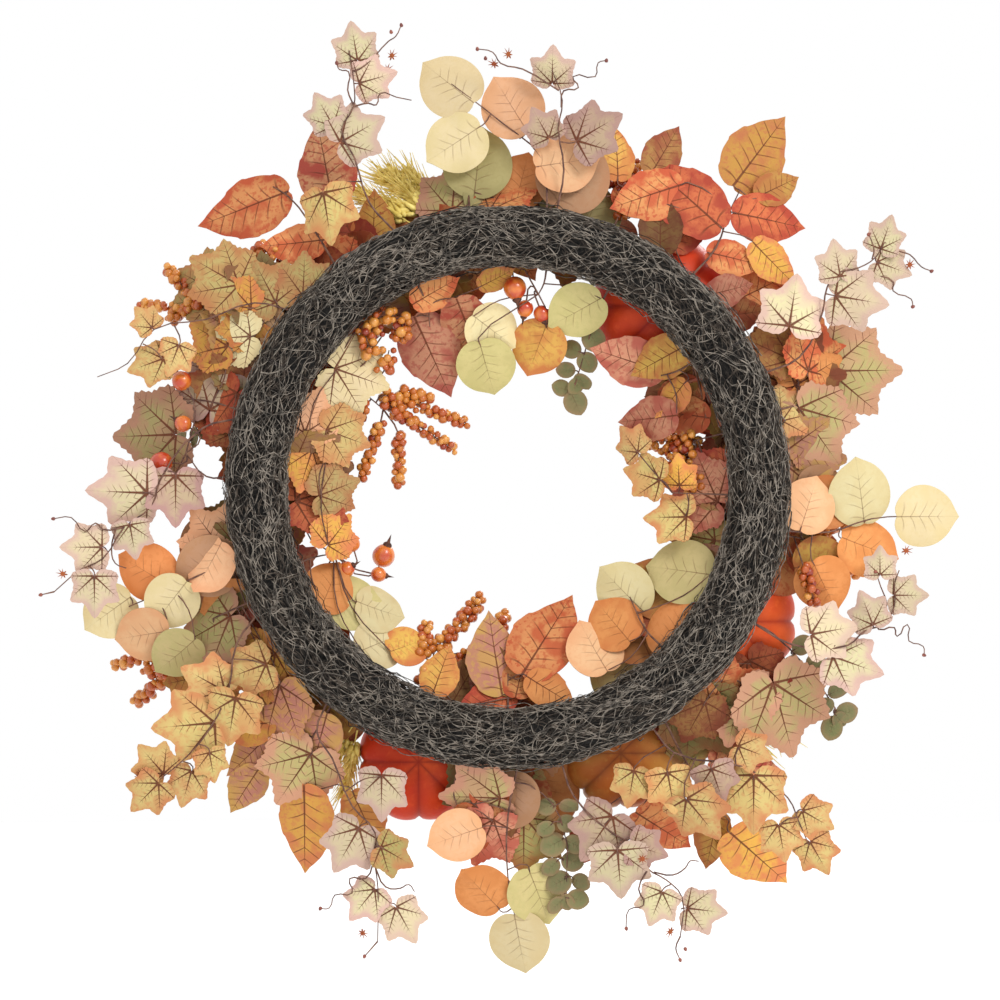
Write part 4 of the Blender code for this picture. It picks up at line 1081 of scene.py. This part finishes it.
def round_blank(name, segments, rings, shape):
    """A turned body from a ball, shaped by a function of its height from -1 to 1."""
    bpy.ops.object.select_all(action="DESELECT")
    bpy.ops.mesh.primitive_uv_sphere_add(segments=segments, ring_count=rings, radius=1.0)
    ball = bpy.context.object
    ball.name = name
    for vert in ball.data.vertices:
        width, height = shape(vert.co.z)
        vert.co = (vert.co.x * width, vert.co.y * width, height)
    smooth(ball)
    ball.data.attributes.new("ground", "FLOAT_COLOR", "POINT")
    cut = ball.data
    bpy.data.objects.remove(ball)
    return cut


def stood(name, blank, place, axis, size, shade=(1.0, 1.0, 1.0)):
    """A copy of a turned body of that radius, with its top along axis."""
    mesh = blank.copy()
    mesh.attributes["ground"].data.foreach_set("color", [*shade, 1.0] * len(mesh.vertices))
    turn = Vector((0, 0, 1)).rotation_difference(axis).to_matrix().to_4x4()
    mesh.transform(Matrix.Translation(place) @ turn @ Matrix.Scale(size, 4))
    ob = bpy.data.objects.new(name, mesh)
    bpy.context.scene.collection.objects.link(ob)
    return ob


bud_blank = round_blank("bud", 8, 6, lambda z: (1.0 - 0.25 * z, z * 1.25))
bud_finish, tree, shader = new_finish("vine_bud", 0.55)
bud_tone = ramp(tree, noise(tree, 300.0), 0.4, 0.6)
feed(tree, shader.inputs["Base Color"],
     blend(tree, bud_tone, (0.16, 0.04, 0.03, 1), (0.28, 0.08, 0.05, 1)))

for part, stars in STARS.items():
    name = "ivy_vine_" + part
    flowers = []
    for clock, reach, tip in stars:
        flower = leaf("star", spot(clock, reach), 0.009, heading(tip), Vector((0, 1, 0)), "star", 18)
        flowers.append(flower.ob)
    sheet = thickened(joined(name + "_stars", flowers))
    settle(sheet, [name], "ivy_" + part, LEAF_FINISHES["star"])
for part, places in BUDS.items():
    buds = [stood("bud", bud_blank, spot(clock, reach), heading(clock), 0.0013) for clock, reach in places]
    piece = joined("ivy_vine_%s_buds" % part, buds)
    settle(piece, ["ivy_vine_" + part], "ivy_" + part,
           bud_finish)

# --- Berry sprays --------------------------------------------------------------------------------
# Strings of small lacquered foam berries, crowded round a thin wire, with a few cloth leaves low
# on each spray.
random.seed(81)
berry_blank = round_blank("berry", 8, 6, lambda z: (1.0 + 0.06 * z, z if z < 0.95 else 0.80))
berry_finish, tree, shader = new_finish("lacquered_berry", 0.30)
tint = node(tree, "Attribute", attribute_name="ground").outputs["Color"]
skin = ramp(tree, noise(tree, 260.0, 2.0), 0.35, 0.7)
feed(tree, shader.inputs["Base Color"],
     blend(tree, maths(tree, "MULTIPLY", skin, 0.35), tint, (0.38, 0.06, 0.012, 1)))
shader.inputs["Coat Weight"].default_value = 0.3
shader.inputs["Coat Roughness"].default_value = 0.2
# Berry tints: the first four are the lacquer's own colours; the last two, dark red, are painted shade.
BERRY_TINTS_AND_SHADES = (
    (0.60, 0.22, 0.03), (0.52, 0.15, 0.02), (0.70, 0.31, 0.06), (0.45, 0.09, 0.015), (0.26, 0.03, 0.012))
BERRY = 0.0035


def berry_string(start, end, width, count, dark=0.0):
    """Berries crowded round the line from start to end, smaller towards the end."""
    axis = (end - start).normalized()
    side = axis.orthogonal().normalized()
    berries = []
    for i in range(count):
        part = (i + random.uniform(0, 0.6)) / count
        turn = i * 2.4 + random.uniform(-0.3, 0.3)
        size = BERRY * random.uniform(0.65, 1.2) * (1 - 0.2 * part ** 3)
        off = Matrix.Rotation(turn, 3, axis) @ side
        away = (width / 2 - size) * (1 - 0.45 * part ** 4) * random.uniform(0.8, 1.2)
        place = start + (end - start) * part + off * away
        # Painted shade: this share of berries takes the two dark tints.
        tints = BERRY_TINTS_AND_SHADES[-2:] if random.random() < dark else BERRY_TINTS_AND_SHADES[:4]
        top = (off + axis * 0.5).normalized()
        berries.append(stood("berry", berry_blank, place, top, size, random.choice(tints)))
    return berries


def berry_spray(name, root, lean, stem, strings, leaves=(), front=(), fill=None):
    paths = lay_spray(name, root, lean, stem, leaves, front=front, fill=fill, tilt=10)
    berries, routes = [], []
    for (c1, r1), (c2, r2), width, dark, *other in strings:
        slope = other[0] if other else lean
        start, end = on_cone(c1, r1, slope), on_cone(c2, r2, slope)
        start.y += random.uniform(-0.004, 0.004)
        join = nearest_on(paths[0], start)
        bow = (start + end) / 2 + Vector((0, random.uniform(-0.003, 0.003), 0))
        if (join - start).length > 0.002:
            routes.append(([join, start, bow, end], TWIG_START, TWIG_END))
        else:
            routes.append(([start, bow, end], TWIG_START, TWIG_END))
        count = max(8, round((end - start).length / MM * 0.055 * width))
        # Painted shade: the half of a string near the stem gets more of the dark tints than its outer
        # half.
        berries += berry_string(start, bow, width * MM * 1.2, (count + 1) // 2, dark)
        berries += berry_string(bow, end, width * MM * 1.2, count // 2, dark * 0.4)
    settle(wires(name + "_strings", routes, 1, 3), [name], "wreath", stem_finish)
    settle(joined(name + "_berries", berries), [name], "wreath", berry_finish)


berry_spray("berry_spray_top", 22, 38, [(22, 214), (20, 228)], (
    ((19, 230), (14, 258), 11, 0.2), ((21, 228), (22, 254), 11, 0.2), ((17, 220), (11, 232), 10, 0.3),
    ((22, 212), (26, 226), 11, 0.3)),
    blades("oval", (25, 232, 50, 60, "orange")), front=blades(
        "oval", (13, 194, 38, 60, 10, "red")) + blades("grape", (15, 170, 36, 50, 190, "sunny")))
berry_spray("berry_spray_right", 100, 34, [(100, 216), (101, 228)], (
    ((101, 228), (104, 262), 10, 0.2), ((99, 226), (95, 252), 10, 0.2),
    ((105, 219), (111, 236), 11, 0.3, 9), ((97, 214), (93, 236), 10, 0.3)),
    front=blades("oval", (93, 192, 44, 60, 80, "orange")))
berry_spray("berry_spray_left_top", 301, 30, [(301, 224), (300.5, 250)], (
    ((300.5, 258), (302.8, 297), 10, 0.0), ((299, 262), (296.5, 300), 9, 0.0),
    ((303, 240), (311, 258), 11, 0.1),
    ((309, 232), (317, 238), 13, 0.2), ((309, 250), (316, 247), 11, 0.1),
    ((300, 264), (296, 274), 12, 0.0)),
    blades("grape", (303.5, 272, 46, 300, "moss")),
    front=blades("round", (302, 190, 40, 52, 310, "peach")) + blades(
        "grape", (311, 172, 34, 62, 120, "orange")))
berry_spray("berry_spray_left_low", 240, 36, [(240, 218), (242, 240)], (
    ((244, 268), (245.7, 318), 10, 0.0), ((241, 276), (240, 316), 11, 0.0),
    ((248, 244), (250, 288), 10, 0.1),
    ((242, 282), (243.5, 296), 13, 0.1)), front=blades(
        "oval", (240, 190, 36, 64, 230, "sunny")) + blades(
        "grape", (250, 172, 30, 60, 60, "rosy")) + blades(
        "round", (258, 192, 42, 50, 270, "apricot")))
berry_spray("berry_spray_inner_left", 304, 24, [(304, 142), (302, 106)], (
    ((308, 104), (328, 54), 10, 0.1), ((304, 98), (305, 46), 10, 0.1), ((297, 103), (273, 106), 10, 0.2),
    ((296, 88), (270, 79), 10, 0.1), ((313, 122), (319, 130), 15, 0.3, 16),
    ((306, 112), (303, 92), 13, 0.2),
    ((314, 137), (318, 155), 13, 0.1, 16), ((320, 156), (327, 148), 13, 0.1, 16),
    ((328, 144), (324, 129), 13, 0.1, 16),
    ((320, 141), (322, 146), 17, 1.0, 26),
    ((312, 104), (320, 84), 9, 0.1), ((300, 118), (294, 124), 12, 0.3)))
berry_spray("berry_spray_inner_right", 76, 30, [(76, 146), (76, 138)], (
    ((76, 140), (72, 106), 16, 0.1), ((78, 138), (85, 110), 16, 0.3), ((79, 132), (77, 116), 14, 0.2),
    ((86, 142), (94, 130), 13, 0.6)))
berry_spray("berry_spray_inner_bottom", 203, 36, [(203, 144), (203, 134)], (
    ((204, 132), (193, 82), 13, 0.1), ((199, 136), (190, 122), 13, 0.4), ((207, 136), (211, 114), 12, 0.3),
    ((186, 112), (181, 92), 12, 0.1), ((205, 150), (198, 146), 13, 0.2)))

# --- Rose hip sprays -----------------------------------------------------------------------------
# Lacquered foam hips on bare curved wires, each ending in a dark dried crown.
random.seed(91)
hip_blank = round_blank(
    "hip", 20, 14, lambda z: (1.0 - 0.10 * max(z, 0) ** 2, z * (1.12 if z > 0 else 1.0)))
crown_blank = round_blank("crown", 10, 6, lambda z: (0.42 - 0.10 * z, 0.30 * z))
for i, vert in enumerate(crown_blank.vertices):
    turn = math.atan2(vert.co.y, vert.co.x)
    flare = max(0.0, math.cos(5 * turn)) if vert.co.z > -0.05 else 0.0
    vert.co = (vert.co.x * (1 + 0.9 * flare), vert.co.y * (1 + 0.9 * flare), vert.co.z + 0.75 * flare)
hip_finish, tree, shader = new_finish("rose_hip", 0.26)
blushed = ramp(tree, noise(tree, 90.0, 2.0), 0.35, 0.65)
feed(tree, shader.inputs["Base Color"],
     blend(tree, blushed, (0.50, 0.045, 0.012, 1), (0.72, 0.20, 0.03, 1)))
shader.inputs["Coat Weight"].default_value = 0.5
shader.inputs["Coat Roughness"].default_value = 0.15
crown_finish, tree, shader = new_finish("dried_crown", 0.8)
dry = ramp(tree, noise(tree, 500.0), 0.4, 0.6)
feed(tree, shader.inputs["Base Color"], blend(tree, dry, (0.045, 0.014, 0.008, 1), (0.12, 0.04, 0.02, 1)))


def hip_spray(name, root, lean, stem, hips, leaves=()):
    paths = lay_spray(name, root, lean, stem, leaves, tilt=8)
    bodies, crowns, routes = [], [], []
    for clock, reach, size, tip in hips:
        centre, axis = on_cone(clock, reach, lean) - Vector((0, 0.003, 0)), heading(tip)
        axis = (axis + Vector((0, random.uniform(-0.4, 0.3), 0))).normalized()
        radius = size * MM / 2
        bodies.append(stood("hip", hip_blank, centre, axis, radius))
        crowns.append(stood("crown", crown_blank, centre + axis * radius * 1.10, axis, radius))
        join = nearest_on(paths[0], centre)
        neck = centre - axis * radius * 0.9
        routes.append(([join, neck - axis * 0.010 + (join - neck) * 0.15, neck], 0.0006, 0.0006))
    settle(wires(name + "_stalks", routes, 1, 3), [name], "wreath", stem_finish)
    settle(joined(name + "_hips", bodies), [name], "wreath", hip_finish)
    settle(joined(name + "_crowns", crowns), [name], "wreath", crown_finish)


hip_spray("rose_hip_spray_left", 272, 8, [(272, 216), (276, 232)], (
    (288, 246, 14, 320), (274, 249, 16, 270), (269.5, 260, 14, 250), (281, 237, 12, 300)))
hip_spray("rose_hip_spray_inner_top", 10, 16, [(10, 148), (9, 140)], (
    (2, 143, 16.5, 170), (5.5, 129, 12, 190), (11, 127, 12, 160)), blades(
        "round", (350, 86, 45, 165, "olive"), (12, 101, 42, 200, "golden"), (21, 134, 44, 240, "olive"),
        (355, 112, 40, 130, "cream")))
hip_spray("rose_hip_spray_inner_left", 250, 32, [(250, 146), (249, 134)], (
    (262, 134, 16, 60), (241, 103, 16.5, 20), (250, 120, 12, 340), (243, 131, 12, 60),
    (236, 113, 11, 100)), blades(
        "round", (233.5, 138, 45, 80, "olive"), (219, 143, 40, 60, "cream"), (226, 128, 38, 100, "cream"),
        (241, 146, 40, 30, "apricot"), (212, 134, 34, 60, "golden")))

# --- Wheat sprays --------------------------------------------------------------------------------
# Dyed wheat ears, wired two or three together: kernels in overlapping rows up a stalk, each with a
# stiff beard.
random.seed(101)
kernel_blank = round_blank("kernel", 6, 5, lambda z: (0.40 - 0.14 * z, z * 1.05))
wheat_finish, tree, shader = new_finish("dyed_wheat", 0.6)
straw = ramp(tree, noise(tree, 130.0, 3.0), 0.35, 0.7)
feed(tree, shader.inputs["Base Color"], blend(tree, straw, (0.62, 0.46, 0.08, 1), (0.95, 0.78, 0.24, 1)))
bump(tree, shader, noise(tree, 1400.0), 0.0003)


def wheat_spray(name, root, lean, stem, ears, front=()):
    lay_spray(name, root, lean, stem, (), front=front, tilt=10)
    kernels, beards = [], []
    for (c1, r1), (c2, r2) in ears:
        start, end = on_cone(c1, r1, lean), on_cone(c2, r2, lean)
        axis = (end - start).normalized()
        side = axis.orthogonal().normalized()
        beards.append(([start - axis * 0.012, start, end - axis * 0.02], TWIG_START, TWIG_END))
        rows = int((end - start).length / 0.0042 * 0.72)
        for i in range(rows * 4):
            row, turn = i // 4, i % 4 * math.pi / 2 + (i // 4 % 2) * math.pi / 4
            part = (row + 0.5) / rows
            off = Matrix.Rotation(turn + random.uniform(-0.2, 0.2), 3, axis) @ side
            point = (axis + off * 0.42).normalized()
            place = start + (end - start) * (0.06 + 0.68 * part) + off * 0.0040 * (1 - 0.35 * part)
            kernels.append(stood("kernel", kernel_blank, place, point, 0.0050 * (1 - 0.2 * part)))
            beard = (axis + off * random.uniform(0.15, 0.45)).normalized()
            root_of_beard = place + point * 0.003
            long = random.uniform(0.014, 0.024)
            beards.append(([root_of_beard, root_of_beard + beard * long], 0.0005, 0.0002))
    settle(joined(name + "_kernels", kernels), [name], "wreath", wheat_finish)
    settle(wires(name + "_beards", beards, 0, 1), [name], "wreath", wheat_finish)


wheat_spray("wheat_spray_top", 346, 50, [(346, 206)], (
    ((344, 211), (335.5, 260)), ((342, 208), (330, 250)), ((346, 213), (341, 256)),
    ((339, 206), (331.5, 256)),
    ((343, 210), (338.5, 262))),
    front=blades("oval", (336, 192, 44, 58, 330, "orange")) + blades(
        "grape", (324, 182, 52, 56, 290, "sunny")))
wheat_spray("wheat_spray_lower_right", 134, 44, [(134, 208)], (
    ((134, 218), (137, 288)), ((132, 218), (132, 286))))
wheat_spray("wheat_spray_lower_left", 212, 46, [(211, 206)], (
    ((211, 214), (207, 272)), ((213, 214), (213, 270))),
    front=blades("round", (222, 186, 34, 54, 220, "peach")) + blades(
        "oval", (230, 170, 42, 56, 30, "orange")))
